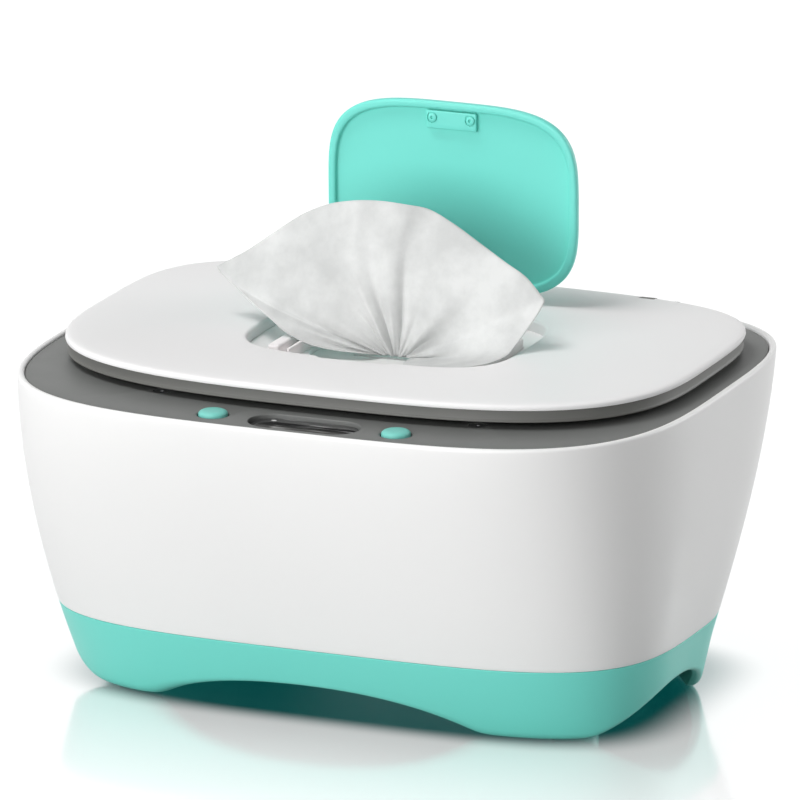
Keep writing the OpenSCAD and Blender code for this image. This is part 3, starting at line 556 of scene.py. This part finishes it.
# Bezel: matt grey ring inside the rim, with round holes for the buttons, a long opening for the
# display and two pairs of lugs at the back for the lid's hinge pins.
bezel_low, bezel_top = 114.4, 117.0
control_x, control_y, button_gap = 3.5, -93.8, 69.2
button_r, button_play = 5.2, 0.45
opening_w, display_d = 41.2, 17.0
pin_x, pin_y, pin_z = 65.0, 84.0, 119.6
tub_low, tub_draw = 42.0, 5.0


def tub_ring(grow, z):
    """Ring round the tub, which draws in towards its floor."""
    draw = tub_draw * (bezel_top - z) / (bezel_top - tub_low)
    a, f, b = 104 + grow - draw, 69.5 + grow - draw, 65.5 + grow - draw
    return ring(turns, outline_reach(turns, a, f, b, 3.5, 3.5), z)


def stadium(name, w, d, section, place):
    """A long hole's cutter: section is (grow, height) in mm."""
    around = np.linspace(0, 2 * math.pi, 96, endpoint=False)
    rings = []
    for grow, z in section:
        r = d / 2 + grow
        x = r * np.cos(around) + np.sign(np.cos(around)) * (w - d) / 2
        points = np.stack([x, r * np.sin(around), np.full(96, z)], 1)
        rings.append((points + np.array(place)) * mm)
    return skin(name, rings)


grey_abs = moulded("grey_abs", (0.15, 0.155, 0.15), 0.5, grain=0.10, mottle=0.04, gloss=0.35)
bezel = skin("bezel", [
    ring(turns, body_reach(turns, bezel_low, 2.4), bezel_low),
    ring(turns, body_reach(turns, bezel_low, 2.4), bezel_top - 0.45),
    ring(turns, body_reach(turns, bezel_low, 2.52), bezel_top - 0.15),
    ring(turns, body_reach(turns, bezel_low, 2.85), bezel_top),
    tub_ring(0.5, bezel_top), tub_ring(0.1, bezel_top - 0.15), tub_ring(0, bezel_top - 0.5),
    tub_ring(0, bezel_low),
], closed=True)
flare = [(0, -4), (0, 2.15), (0.12, 2.4), (0.5, 2.62), (0.5, 4)]
button_hole = [(button_r + button_play + f, z) for f, z in flare]
cutters = [
    turned("hole", button_hole, (control_x + s * button_gap / 2, control_y, bezel_low)) for s in (-1, 1)
]
long_flare = [(f * 0.5, z) for f, z in flare]
cutters.append(stadium("opening", opening_w, display_d, long_flare, (control_x, control_y, bezel_low)))
screw_seat = [(1.7, -4), (1.7, 1.2), (3.1, 1.2), (3.1, 4)]
for s in (-1, 1):
    notch_low = (s * pin_x - 4.8, pin_y - 3.8, bezel_low + 1)
    cutters.append(block("notch", notch_low, (s * pin_x + 4.8, pin_y + 3.8, 120)))
    for y in (-73, 71):
        cutters.append(turned("hole", screw_seat, (s * 60, y, bezel_low), count=32))
bezel = cut_with(bezel, cutters)
smooth(bezel, 30)
fitted(bezel, "body", "grey_bezel", grey_abs, "bezel_ring")

lugs = []
lug_eye = [(1.5, -1.7), (3.0, -1.75), (3.2, -1.5), (3.2, 1.5), (3.0, 1.75), (1.5, 1.7)]
for s in (-1, 1):
    for k in (-1, 1):
        x = s * pin_x + k * 6.65
        lugs.append(block("lug", (x - 1.75, pin_y - 3.2, bezel_top - 1), (x + 1.75, pin_y + 3.2, pin_z), 0.3))
        lugs.append(turned("lug", lug_eye, (x, pin_y, pin_z), (1, 0, 0), 40))
hinge_lugs = smooth(joined("hinge_lugs", lugs), 40)
fitted(hinge_lugs, "body", "grey_bezel", grey_abs)


# Push buttons: round teal caps that stand 1.6 mm out of the bezel, with a softly rounded edge.
cap_teal = moulded("cap_teal", (0.18, 0.57, 0.505), 0.45, gloss=0.3)
button_top = bezel_top + 1.6
cap = [
    (0, 111.3), (1.6, 111.3), (1.6, 113.25), (6.2, 113.25), (6.2, 114.2), (button_r, 114.25),
    (button_r, button_top - 1.4), (5.08, button_top - 0.95), (4.7, button_top - 0.52),
    (4.1, button_top - 0.22), (3.3, button_top - 0.06), (2.5, button_top), (0, button_top),
]
for name, node, s in (("left_cap", "button_left", -1), ("right_cap", "button_right", 1)):
    button = turned(name, cap, (control_x + s * button_gap / 2, control_y, 0))
    smooth(button, 50)
    fitted(button, "left_button" if s < 0 else "right_button", "teal_plastic", cap_teal, node)


# Display: smoked lens let into the long opening from below, with a step that almost fills it,
# over a module with a blank panel. Its colour holds a painted highlight spot and light streaks,
# and painted shade darkens its left end.
lens_w, lens_low = 42.2, 113.0
highlight_x, highlight_y = -10.3 * mm, -82.2 * mm
lens_glass, g = blank_material("smoked_lens")
place = g.add("ShaderNodeTexCoord")["Object"]
dust = g.add("ShaderNodeTexNoise", {}, {"Vector": place, "Scale": 400.0, "Detail": 4.0})
long_way = g.add("ShaderNodeVectorMath", {"operation": "MULTIPLY"}, {0: place, 1: (70, 900, 0)})
streaks = g.add("ShaderNodeTexNoise", {}, {"Vector": long_way, "Scale": 1.0, "Detail": 0.0})
at = g.add("ShaderNodeSeparateXYZ", {}, {0: place})
# Painted highlight: a bright spot in the lens colour.
highlight_off = (((at["X"] - highlight_x) / 1.3) ** 2 + (at["Y"] - highlight_y) ** 2) ** 0.5
painted_highlight = g.add("ShaderNodeMapRange", {}, {
    "Value": highlight_off, "From Min": 1.3 * mm, "From Max": 0.6 * mm,
})
# Painted shade: the lens colour turns dark towards its left end.
inner = g.add("ShaderNodeMapRange", {}, {"Value": at["X"], "From Min": -17 * mm, "From Max": -7 * mm})
smoke = g.add("ShaderNodeValToRGB", {"stops": [
    (0.56, (0.035, 0.035, 0.036)), (0.70, (0.24, 0.24, 0.24)), (1.0, (0.9, 0.9, 0.9)),
]}, {0: (streaks * inner).maths("MAXIMUM", painted_highlight)})
lens_shader = g.add("ShaderNodeBsdfPrincipled", {}, {
    "Base Color": smoke, "Roughness": dust * 0.06 + 0.03, "Coat Weight": 0.4,
})
g.add("ShaderNodeOutputMaterial", {}, {"Surface": lens_shader})
lens_section = [(-0.4, 0), (0, 0.3), (0, 1.38), (-0.7, 1.4), (-0.7, 2.3), (-0.95, 2.5)]
lens = stadium("display_lens", lens_w, display_d + 1, lens_section, (control_x, control_y, lens_low))
smooth(lens)
fitted(lens, "body", "window_clear", lens_glass, "display_window")


# Tub: warm-white polypropylene tray for the wipes, hung by its flange on the body's ledge.
tub_white = moulded("tub_white", (0.80, 0.80, 0.79), 0.45, grain=0.05)
flange = body_reach(turns, ledge_z, 2.6)
tub_section = [
    (0.4, 114.35), (0, 113.9), (0, 100), (0, 80), (0, 60), (-0.2, 52), (-1.2, 48), (-3.2, 45.2), (-6, 44.05),
    (-5, tub_low), (-3, tub_low), (0.6, 45), (2, 49), (2, 80), (2, ledge_z),
]
tub = skin("tub", [
    ring(turns, flange, ledge_z), ring(turns, flange, 114.35),
    *(tub_ring(grow, z) for grow, z in tub_section),
][::-1], closed=True)
tub_floor = skin("tub_floor", [tub_ring(-5.6, 42.05), tub_ring(-5.6, 44.04)])
control_window = block("window", (-52.5, -103, 111), (59.5, -78.8, 116))
tub = cut_with(joined("tub", [tub, tub_floor]), [control_window])
smooth(tub, 40)
fitted(tub, "body", "inner_white", tub_white, "inner_tub")


# Stack of wipes: folded sheets laid one on another, each a soft slab with round folds along its
# front and back. A node tree lays the sheets with small slips left and right.
cloth_white, g = blank_material("wet_wipe")
place = g.add("ShaderNodeTexCoord")["Object"]
wet = g.add("ShaderNodeTexNoise", {}, {"Vector": place, "Scale": 38.0, "Detail": 6.0, "Roughness": 0.6})
fibre = g.add("ShaderNodeTexNoise", {}, {"Vector": place, "Scale": 900.0, "Detail": 4.0})
emboss = g.add("ShaderNodeTexVoronoi", {}, {"Vector": place, "Scale": 420.0})
wet_grey, dry_white = (0.50, 0.51, 0.505), (0.63, 0.64, 0.633)
shade = g.add("ShaderNodeValToRGB", {"stops": [(0.38, wet_grey), (0.60, dry_white)]}, {0: wet})
weave = fibre * 0.6 + emboss * 0.4
relief = g.add("ShaderNodeBump", {}, {"Strength": 0.35, "Distance": 0.0003, "Height": weave})
cloth_shader = g.add("ShaderNodeBsdfPrincipled", {}, {
    "Base Color": shade, "Roughness": wet * 0.2 + 0.62, "Normal": relief, "Sheen Weight": 0.15,
})
g.add("ShaderNodeOutputMaterial", {}, {"Surface": cloth_shader})

stack_w, stack_d, stack_low, stack_h = 172.0, 94.0, 44.2, 44.0
layers, sheet_slip = 22, 0.7
pitch = stack_h / layers
slab_turns = np.linspace(0, 2 * math.pi, 96, endpoint=False)
slab = skin("slab", [
    ring(slab_turns, outline_reach(slab_turns, stack_w / 2 - i, stack_d / 2 - i, stack_d / 2 - i, 8, 8), z)
    for i, z in ((2.2, 0.02), (1.2, 0.15), (0.9, pitch * 0.5), (1.2, pitch - 0.15), (2.2, pitch - 0.02))
])
smooth(slab, 60)
pile = bpy.data.node_groups.new("Pile of sheets", "GeometryNodeTree")
tree_inputs(pile, [
    ("Geometry in", "NodeSocketGeometry"), ("Sheet", "NodeSocketObject"), ("Count", "NodeSocketInt"),
    ("Pitch", "NodeSocketFloat"), ("Low", "NodeSocketFloat"), ("Slip", "NodeSocketFloat"),
    ("Material", "NodeSocketMaterial"),
])
g = Graph(pile)
given = g.add("NodeGroupInput")
sheet_mesh = g.add("GeometryNodeObjectInfo", {}, {"Object": given["Sheet"]})
spots = g.add("GeometryNodePoints", {}, {"Count": given["Count"]})
index = g.add("GeometryNodeInputIndex")
slip = g.add("FunctionNodeRandomValue", {"data_type": "FLOAT"}, {2: -1.0, 3: 1.0, "ID": index, "Seed": 3})
slip = Link(g, slip.node, slip.node.outputs[1])
lifted = g.add("ShaderNodeCombineXYZ", {}, {
    "X": slip * given["Slip"], "Y": slip * given["Slip"] * 0.6, "Z": index * given["Pitch"] + given["Low"],
})
spots = g.add("GeometryNodeSetPosition", {}, {"Geometry": spots, "Position": lifted})
copies = g.add("GeometryNodeInstanceOnPoints", {}, {"Points": spots, "Instance": sheet_mesh["Geometry"]})
real = g.add("GeometryNodeRealizeInstances", {}, {"Geometry": copies})
painted = g.add("GeometryNodeSetMaterial", {}, {"Geometry": real, "Material": given["Material"]})
g.add("NodeGroupOutput", {}, {"Geometry": painted})
stack = new_piece("wipes_in_tub", [(0, 0, 0)], [])
modifier = stack.modifiers.new("pile", "NODES")
modifier.node_group = pile
set_inputs(modifier, {
    "Sheet": slab, "Count": layers, "Pitch": pitch * mm, "Low": stack_low * mm, "Slip": sheet_slip * mm,
    "Material": cloth_white,
})
as_mesh(stack)
bpy.data.objects.remove(slab)
smooth(stack, 60)
fitted(stack, "body", "cloth", cloth_white, "wipe_stack")


# Main lid, top: thin white moulding, slightly crowned, with a rounded edge and a collar round the
# flip lid's recess. A finger notch opens the recess at the front, and two pairs of slots behind it
# pass the flip lid's arms and the main lid's hinge arms.
panel_top, panel_low, panel_under = 126.4, 123.8, 124.7
lid_half_w, lid_front, lid_back = 116.8, 82.2, 77.8
recess_half_w, recess_half_d, recess_y, notch_out = 50.2, 37.6, -3.0, 1.9
slot_half_w, flip_arm_x = 3.2, 30
lid_turns = np.linspace(0, 2 * math.pi, 384, endpoint=False)


def lid_ring(inset, z):
    reach = outline_reach(lid_turns, lid_half_w - inset, lid_front - inset, lid_back - inset, 3, 4.2)
    return ring(lid_turns, reach, z)


def recess_ring(grow, z, bulge=0.0):
    """Ring round the recess; bulge moves it out at the finger notch."""
    a, b = recess_half_w + grow, recess_half_d + grow
    reach = outline_reach(lid_turns, a, b, b, 3.7, 3.7)
    made = ring(lid_turns, reach, z, recess_y)
    x = np.abs(made[:, 0]) / mm
    share = np.clip((15.5 - x) / 3.5, 0, 1)
    share = share * share * (3 - 2 * share) * (made[:, 1] < 0)
    made[:, 1] -= share * bulge * mm
    return made


lid_white = moulded("lid_white", (0.83, 0.825, 0.825), 0.5, gloss=0.25)
lid_edge = [
    (2.6, panel_low), (0.6, panel_low), (0.12, 124.0), (0, 124.4), (0.08, 125.2), (0.3, 125.6),
    (0.8, 125.9), (1.8, 126.12), (4, 126.24), (9, 126.32),
]
rings = [lid_ring(inset, z) for inset, z in lid_edge]
outer = lid_ring(14, 126.36)
inner = recess_ring(1.6, panel_top, notch_out)
rings += [outer * (1 - s) + inner * s for s in (0, 0.2, 0.4, 0.6, 0.8, 1)]
recess_edge = [(0.9, 0.05), (0.4, 0.28), (0.1, 0.7), (0, 1.2)]
rings += [recess_ring(grow, panel_top - down, notch_out) for grow, down in recess_edge]
rings += [
    recess_ring(0, 123.6, notch_out), recess_ring(0, 123.3), recess_ring(0, 122.15),
    recess_ring(2.4, 122.15),
]
under_in, under_out = recess_ring(2.4, panel_under), lid_ring(2.6, panel_under)
rings += [under_in, under_out * 0.5 + under_in * 0.5, under_out]
lid_top = skin("lid_top", rings, closed=True)
cutters = []
for s in (-1, 1):
    for x, low, high, edge_round in (
        (s * flip_arm_x, (30, 121), (52, 130), 0.6), (s * pin_x, (72.6, 122), (84, 130), 0.4),
    ):
        cutters.append(block("slot", (x - slot_half_w, *low), (x + slot_half_w, *high), edge_round))
lid_top = cut_with(lid_top, cutters)
smooth(lid_top, 38)
fitted(lid_top, "main_lid", "white_shell", lid_white, "lid_panel")


# Main lid, frame: dark grey moulding under the top. Its skirt with a thin lip shows round the
# edge, a pan drops into the tub, and two arms carry the hinge knuckles. Their roots fill the slots.
dark_abs = moulded("dark_abs", (0.125, 0.126, 0.118), 0.5, grain=0.08, mottle=0.04, gloss=0.35)
skirt_low, frame_top, frame_deck = 119.5, 123.7, 121.6
pan_low, pan_deck = 111.5, 113.0
pan_out, pan_in = lid_ring(16.6, pan_low), recess_ring(1.8, pan_low)
deck_out, deck_in = lid_ring(17.6, pan_deck), recess_ring(3.4, pan_deck)
skirt_edge = [(0.9, 1.2), (0.8, 0.95), (0.7, 0.85), (0.6, 0.65), (0.6, 0.25), (0.8, 0), (3.4, 0)]
pan_wall = [(3.4, frame_deck), (15.6, frame_deck), (16, 121.2), (16, 112.1), (16.15, 111.7)]
rings = [lid_ring(0.9, frame_top)]
rings += [lid_ring(inset, skirt_low + up) for inset, up in skirt_edge]
rings += [lid_ring(inset, z) for inset, z in pan_wall]
rings += [
    pan_out, pan_out * 0.5 + pan_in * 0.5, pan_in, recess_ring(1.4, 111.7), recess_ring(1.3, 112.1),
    recess_ring(1.3, 120.6), recess_ring(3.4, 120.6), deck_in, deck_in * 0.5 + deck_out * 0.5, deck_out,
    lid_ring(17.6, frame_deck), lid_ring(17.6, frame_top),
]
lid_frame = skin("lid_frame_ring", rings, closed=True)
parts = [smooth(lid_frame, 35)]
knuckle = [(1.5, -4.4), (2.95, -4.5), (3.2, -4.25), (3.2, 4.25), (2.95, 4.5), (1.5, 4.4)]
for s in (-1, 1):
    parts.append(block("arm", (s * pin_x - 4.5, 71.8, 121.2), (s * pin_x + 4.5, pin_y, 122.8), 0.25))
    parts.append(block("arm_root", (s * pin_x - 3.1, 72.7, 122.7), (s * pin_x + 3.1, 76.3, 125.8), 0.2))
    parts.append(turned("knuckle", knuckle, (s * pin_x, pin_y, pin_z), (1, 0, 0), 48))
    for x in (24, 36):
        parts.append(block("lug", (s * x - 2, 40.1, 112.5), (s * x + 2, 44.9, 119.2), 0.4))
lid_frame = joined("lid_underframe", parts)
lid_frame.data.set_sharp_from_angle(angle=math.radians(35))
fitted(lid_frame, "main_lid", "dark_frame", dark_abs, "lid_frame")


# Seal: soft ring in the frame's groove that closes on the bezel, painted black so that it stands for the
# shade in the gap under the lid's edge.
gap_shade_rubber = moulded("gap_shade_rubber", (0.03, 0.03, 0.03), 0.6, grain=0.1)
seal_section = [
    (7, frame_deck), (7, 118.4), (7.3, 117.7), (8, 117.35), (9, 117.35), (9.7, 117.7), (10, 118.4),
    (10, frame_deck),
]
seal = skin("lid_seal_ring", [lid_ring(inset, z) for inset, z in seal_section], closed=True)
smooth(seal, 50)
fitted(seal, "main_lid", "seal_rubber", gap_shade_rubber, "lid_seal")


# Dispensing dish: white tray under the recess with a long opening in its middle, and a wide and
# a thin rib at each end that hold the wipe off the wall.
def dish_ring(a, b, z):
    return ring(lid_turns, outline_reach(lid_turns, a, b, b, 3.7, 3.7), z, recess_y)


dish_section = [
    (31, 15, 116.5), (42, 27, 118.1), (50.8, 38.2, 120.6), (53.6, 41, 120.6), (53.6, 41, 122.1),
    (50.4, 37.8, 122.1), (49, 36.4, 122.0), (47.5, 34.5, 121.4), (45, 31, 120.5), (42, 27, 119.6),
    (36, 21, 118.75), (32, 16, 118.2), (31.2, 15.2, 118.0), (31, 15, 117.7),
]
dish = skin("dish", [dish_ring(a, b, z) for a, b, z in dish_section], closed=True)
wide_rib, thin_rib = (38.3, 4.5, 123.6), (32.5, 1.2, 122.8)
parts = [smooth(dish, 50)]
for s in (-1, 1):
    for x, w, top in (wide_rib, thin_rib):
        parts.append(block("rib", (s * x - w / 2, -25, 118.1), (s * x + w / 2, 17, top), min(w / 2.5, 0.9)))
dish = joined("dispensing_dish", parts)
dish.data.set_sharp_from_angle(angle=math.radians(50))
dish_white = moulded("dish_white", (0.90, 0.87, 0.87), 0.6, grain=0.05, gloss=0.3)
fitted(dish, "main_lid", "inner_white", dish_white, "dispenser_plate")


# Lips: thin soft plate across the dish's opening, with the slit that grips the wipe.
lip_rubber = moulded("lip_rubber", (0.74, 0.74, 0.73), 0.55, grain=0.06)
lips_low, lips_high, slit_w, slit_d = 115.4, 116.5, 34, 1.8
lips = skin("lips", [dish_ring(34, 18, lips_low), dish_ring(34, 18, lips_high)])
lips = cut_with(lips, [stadium("slit", slit_w, slit_d, [(0, -3), (0, 3)], (0, recess_y, 116))])
smooth(lips, 40)
fitted(lips, "main_lid", "seal_rubber", lip_rubber, "dispenser_lips")


# Flip lid: thin teal cover that stands open behind the recess, with a raised rim round its inner
# face and two arms that turn on the pin. It is drawn closed and then turned open.
flip_half_w, flip_half_d, flip_y = 48.2, 35.0, -4.0
flip_pin_y, flip_pin_z, inner_face = 42.5, 116.8, 124.2
flip_pin = Vector((0, flip_pin_y, flip_pin_z)) * mm
upright_turn = Matrix.Rotation(math.radians(-90), 4, "X")
opened = Matrix.Translation(flip_pin) @ upright_turn @ Matrix.Translation(-flip_pin)


def flip_ring(inset, z):
    a, b = flip_half_w - inset, flip_half_d - inset
    return ring(lid_turns, outline_reach(lid_turns, a, b, b, 3.7, 3.7), z, flip_y)


cover_section = [
    (30, 126.42), (20, 126.42), (11, 126.38), (5, 126.27), (2.4, 126.1), (1.1, 125.82), (0.4, 125.4),
    (0.08, 124.9), (0, 124.4), (0, 123.1), (0.12, 122.7), (0.45, 122.4), (1.0, 122.3), (2.1, 122.3),
    (2.55, 122.42), (2.8, 122.75), (2.9, 123.3), (2.98, 123.9), (3.25, 124.12), (3.8, inner_face),
    (12, inner_face), (28, inner_face),
]
cover = skin("cover", [flip_ring(inset, z) for inset, z in cover_section])
parts = [smooth(cover, 60)]
arm_eye = [(1.28, -2.4), (2.2, -2.5), (2.4, -2.3), (2.4, 2.3), (2.2, 2.5), (1.28, 2.4)]
for s in (-1, 1):
    x = s * flip_arm_x
    parts.append(block("arm", (x - 2.5, 27.6, 122.7), (x + 2.5, 43.6, 125.3), 0.5))
    parts.append(block("arm", (x - 2.5, 40.6, flip_pin_z), (x + 2.5, 43.6, 123.3), 0.5))
    parts.append(turned("eye", arm_eye, (x, flip_pin_y, flip_pin_z), (1, 0, 0), 40))
flip = joined("flip_cover_shell", parts)
flip.data.transform(opened)
flip.data.set_sharp_from_angle(angle=math.radians(60))
fitted(flip, "flip_cover", "teal_plastic", teal_abs, "flip_lid")


# Catch plate: small teal plate on the flip lid's inner face, held by two pan-head screws.
catch_x, catch_y = 7.3, -33
plate = block("catch", (-9.6, -35.6, 122.4), (9.6, -29.0, inner_face), 0.35)
pan_head = [
    (0, 123.2), (1.62, 123.2), (1.62, 122.35), (1.5, 122.2), (1.1, 122.08), (0.62, 122.08),
    (0.55, 122.3), (0.5, 122.75), (0, 122.75),
]
sink = [(2.05, 121), (2.05, 122.9)]
heads = [smooth(turned("head", pan_head, (s * catch_x, catch_y, 0), count=40), 40) for s in (-1, 1)]
sinks = [turned("sink", sink, (s * catch_x, catch_y, 0), count=40) for s in (-1, 1)]
plate = smooth(cut_with(plate, sinks), 35)
plate.name = "catch_block"
plate.data.transform(opened)
fitted(plate, "flip_cover", "teal_plastic", teal_abs, "catch_plate")
heads = joined("catch_heads", heads)
heads.data.transform(opened)
heads.data.set_sharp_from_angle(angle=math.radians(40))
fitted(heads, "flip_cover", "teal_plastic", teal_abs, "catch_screws")


# Pulled-up wipe: wet spunlace cloth gathered in the slit and fanned out above it. The sheet runs
# from the gather, just above the lips, to its cut edge in radial folds.
edge_points = np.array([
    (7, -8, 118.6), (10.5, -22, 121), (16, -32.5, 122.8), (25, -35.5, 124), (34, -33.8, 124.7),
    (42, -29.3, 125.3), (46.4, -24, 126), (49.2, -19, 127.4), (50.6, -15, 130), (53.2, -10, 135.1),
    (56.2, -5.4, 141.2), (56.7, -3.7, 143.1), (56.9, -3, 143.9), (56.2, -2.9, 144.6), (49.2, -2, 151.4),
    (40.4, 0, 155.6), (29.2, 2.5, 161.2), (18, 5, 166.6), (9.8, 6.5, 169.6), (1.6, 4.5, 171.4),
    (-8.8, 5, 171.8), (-18.7, 4, 171.3), (-29, 4, 168.9), (-37.2, 2, 165.3), (-48, 0, 157.9),
    (-58.9, -2, 150), (-68, -3.8, 144.7), (-69, -4, 144.1), (-68.4, -4.3, 143.4), (-60.3, -7, 138.1),
    (-52.4, -11, 134), (-46.1, -13, 130.7), (-38.4, -14, 125.6), (-30.7, -13.5, 122.1),
    (-24.7, -12.5, 120.7), (-17.8, -11, 119.8), (-9, -8, 119.1), (-6.8, -5, 118.3),
], float)
cloth_cols, cloth_rows = 260, 64
lengths = np.concatenate([[0], np.cumsum(np.linalg.norm(np.diff(edge_points, axis=0), axis=1))])
u = np.linspace(0, 1, cloth_cols)
at = u * lengths[-1]


def eased(values):
    """Smooth curve through the values at the edge's points."""
    slopes = np.gradient(values, lengths)
    k = np.clip(np.searchsorted(lengths, at, side="right") - 1, 0, len(lengths) - 2)
    h = lengths[k + 1] - lengths[k]
    s = (at - lengths[k]) / h
    return (
        (2 * s**3 - 3 * s**2 + 1) * values[k] + (s**3 - 2 * s**2 + s) * h * slopes[k]
        + (-2 * s**3 + 3 * s**2) * values[k + 1] + (s**3 - s**2) * h * slopes[k + 1]
    )


cut_edge = np.stack([eased(edge_points[:, k]) for k in range(3)], 1)
gather_half_w, gather_z = 6.5, 117.6
gather = np.stack([
    gather_half_w * np.cos(math.pi * u), recess_y + 0.6 * np.sin(40 * u), gather_z + 0 * u,
], 1)
creases = [  # place along the cut edge, width, depth, and how far up it fades
    (0.14, 0.030, 0.9, 1.0), (0.25, 0.034, -1.2, 0.8), (0.335, 0.030, 1.4, 0.75), (0.385, 0.024, -1.6, 0.8),
    (0.44, 0.022, 0.9, 0.9), (0.492, 0.012, 1.7, 1.4), (0.525, 0.016, -1.0, 0.9), (0.56, 0.012, 1.5, 0.9),
    (0.59, 0.013, -1.4, 0.8), (0.635, 0.020, 1.2, 1.2), (0.70, 0.034, -1.0, 0.8), (0.78, 0.030, 1.4, 0.75),
    (0.84, 0.024, -1.4, 0.7), (0.90, 0.020, 1.0, 0.9), (0.95, 0.018, -0.9, 0.9),
]


def crease(v, place, width, depth, fades):
    """One crease's push across the sheet's row at the share v of its height."""
    wander = 0.008 * math.sin(5 * v + 9 * place)
    spread = width * (0.7 + 0.6 * v)
    return depth * np.exp(-(((u - place - wander) / spread) ** 2)) * max(0, 1 - v / fades) ** 0.8


upright = np.clip((cut_edge[:, 2] - 124) / 16, 0, 1)
sag, fold_depth, pinch_depth = 4.5, 1.15, 0.3
points = []
for j in range(cloth_rows):
    v = j / (cloth_rows - 1)
    sheet_row = gather * (1 - v) + cut_edge * v
    fold = sum(crease(v, *measures) for measures in creases) * min(1, v * 5)
    pinch = pinch_depth * np.sin(150 * u) * math.exp(-v / 0.12) * min(1, v * 20)
    sheet_row[:, 1] += upright * (-sag * math.sin(math.pi * v)) + fold * fold_depth + pinch
    sheet_row[:, 2] += 0.1 * fold
    points.append(sheet_row * mm)
faces = [
    (j * cloth_cols + i, j * cloth_cols + i + 1, (j + 1) * cloth_cols + i + 1, (j + 1) * cloth_cols + i)
    for j in range(cloth_rows - 1) for i in range(cloth_cols - 1)
]
wipe = new_piece("pulled_wipe", np.concatenate(points), faces)
smooth(wipe, 180)
solid = wipe.modifiers.new("cloth", "SOLIDIFY")
solid.thickness = 0.35 * mm
solid.offset = 0
as_mesh(wipe)
fitted(wipe, "main_lid", "cloth", cloth_white, "wipe")
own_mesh(wipe)


# Fittings left as the solids are: feet, screws, pins, heater, electronics and leads.
foot_rubber = moulded("foot_rubber", (0.035, 0.035, 0.035), 0.75, grain=0.2)
black_abs = moulded("black_abs", (0.02, 0.02, 0.02), 0.45)
orange_film = moulded("orange_film", (0.48, 0.15, 0.02), 0.25, coat=0.4, mottle=0.2)
cream_foam = moulded("cream_foam", (0.70, 0.68, 0.58), 0.9, grain=0.6, mottle=0.1)
green_board = moulded("green_board", (0.01, 0.10, 0.03), 0.3, coat=0.4, mottle=0.2)
red_sleeve = moulded("red_sleeve", (0.32, 0.01, 0.01), 0.5)


def metal(name, colour, rough):
    """Drawn or turned metal with fine brushing along its length."""
    material, g = blank_material(name)
    place = g.add("ShaderNodeTexCoord")["Object"]
    stretched = g.add("ShaderNodeMapping", {}, {"Vector": place, "Scale": (120, 1500, 1500)})
    lines = g.add("ShaderNodeTexNoise", {}, {"Vector": stretched, "Scale": 1.0, "Detail": 3.0})
    relief = g.add("ShaderNodeBump", {}, {"Strength": 0.1, "Distance": 0.0001, "Height": lines})
    skin_shader = g.add("ShaderNodeBsdfPrincipled", {}, {
        "Base Color": (*colour, 1), "Metallic": 1.0, "Roughness": lines * 0.2 + rough, "Normal": relief,
    })
    g.add("ShaderNodeOutputMaterial", {}, {"Surface": skin_shader})
    return material


screw_steel = metal("screw_steel", (0.56, 0.57, 0.58), 0.22)
plate_aluminium = metal("plate_aluminium", (0.78, 0.78, 0.79), 0.3)
for material, nodes in (
    (foot_rubber, ["rubber_feet"]),
    (screw_steel, [
        "base_screws", "bezel_screws", "retainer_screws", "board_screws", "lid_screws", "lid_hinge_pins",
        "flip_hinge_pin",
    ]),
    (plate_aluminium, ["heater_plate"]),
    (orange_film, ["heating_film"]),
    (cream_foam, ["insulation_pad"]),
    (black_abs, ["heater_retainer", "temperature_sensor", "tact_switches", "dc_jack"]),
    (tub_white, ["thermal_fuse"]),
    (green_board, ["control_board"]),
    (dark_abs, ["display_module"]),
    (red_sleeve, ["wire_harness"]),
):
    for node in nodes:
        solid_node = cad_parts[node]
        solid_node.data.materials.clear()
        solid_node.data.materials.append(material)
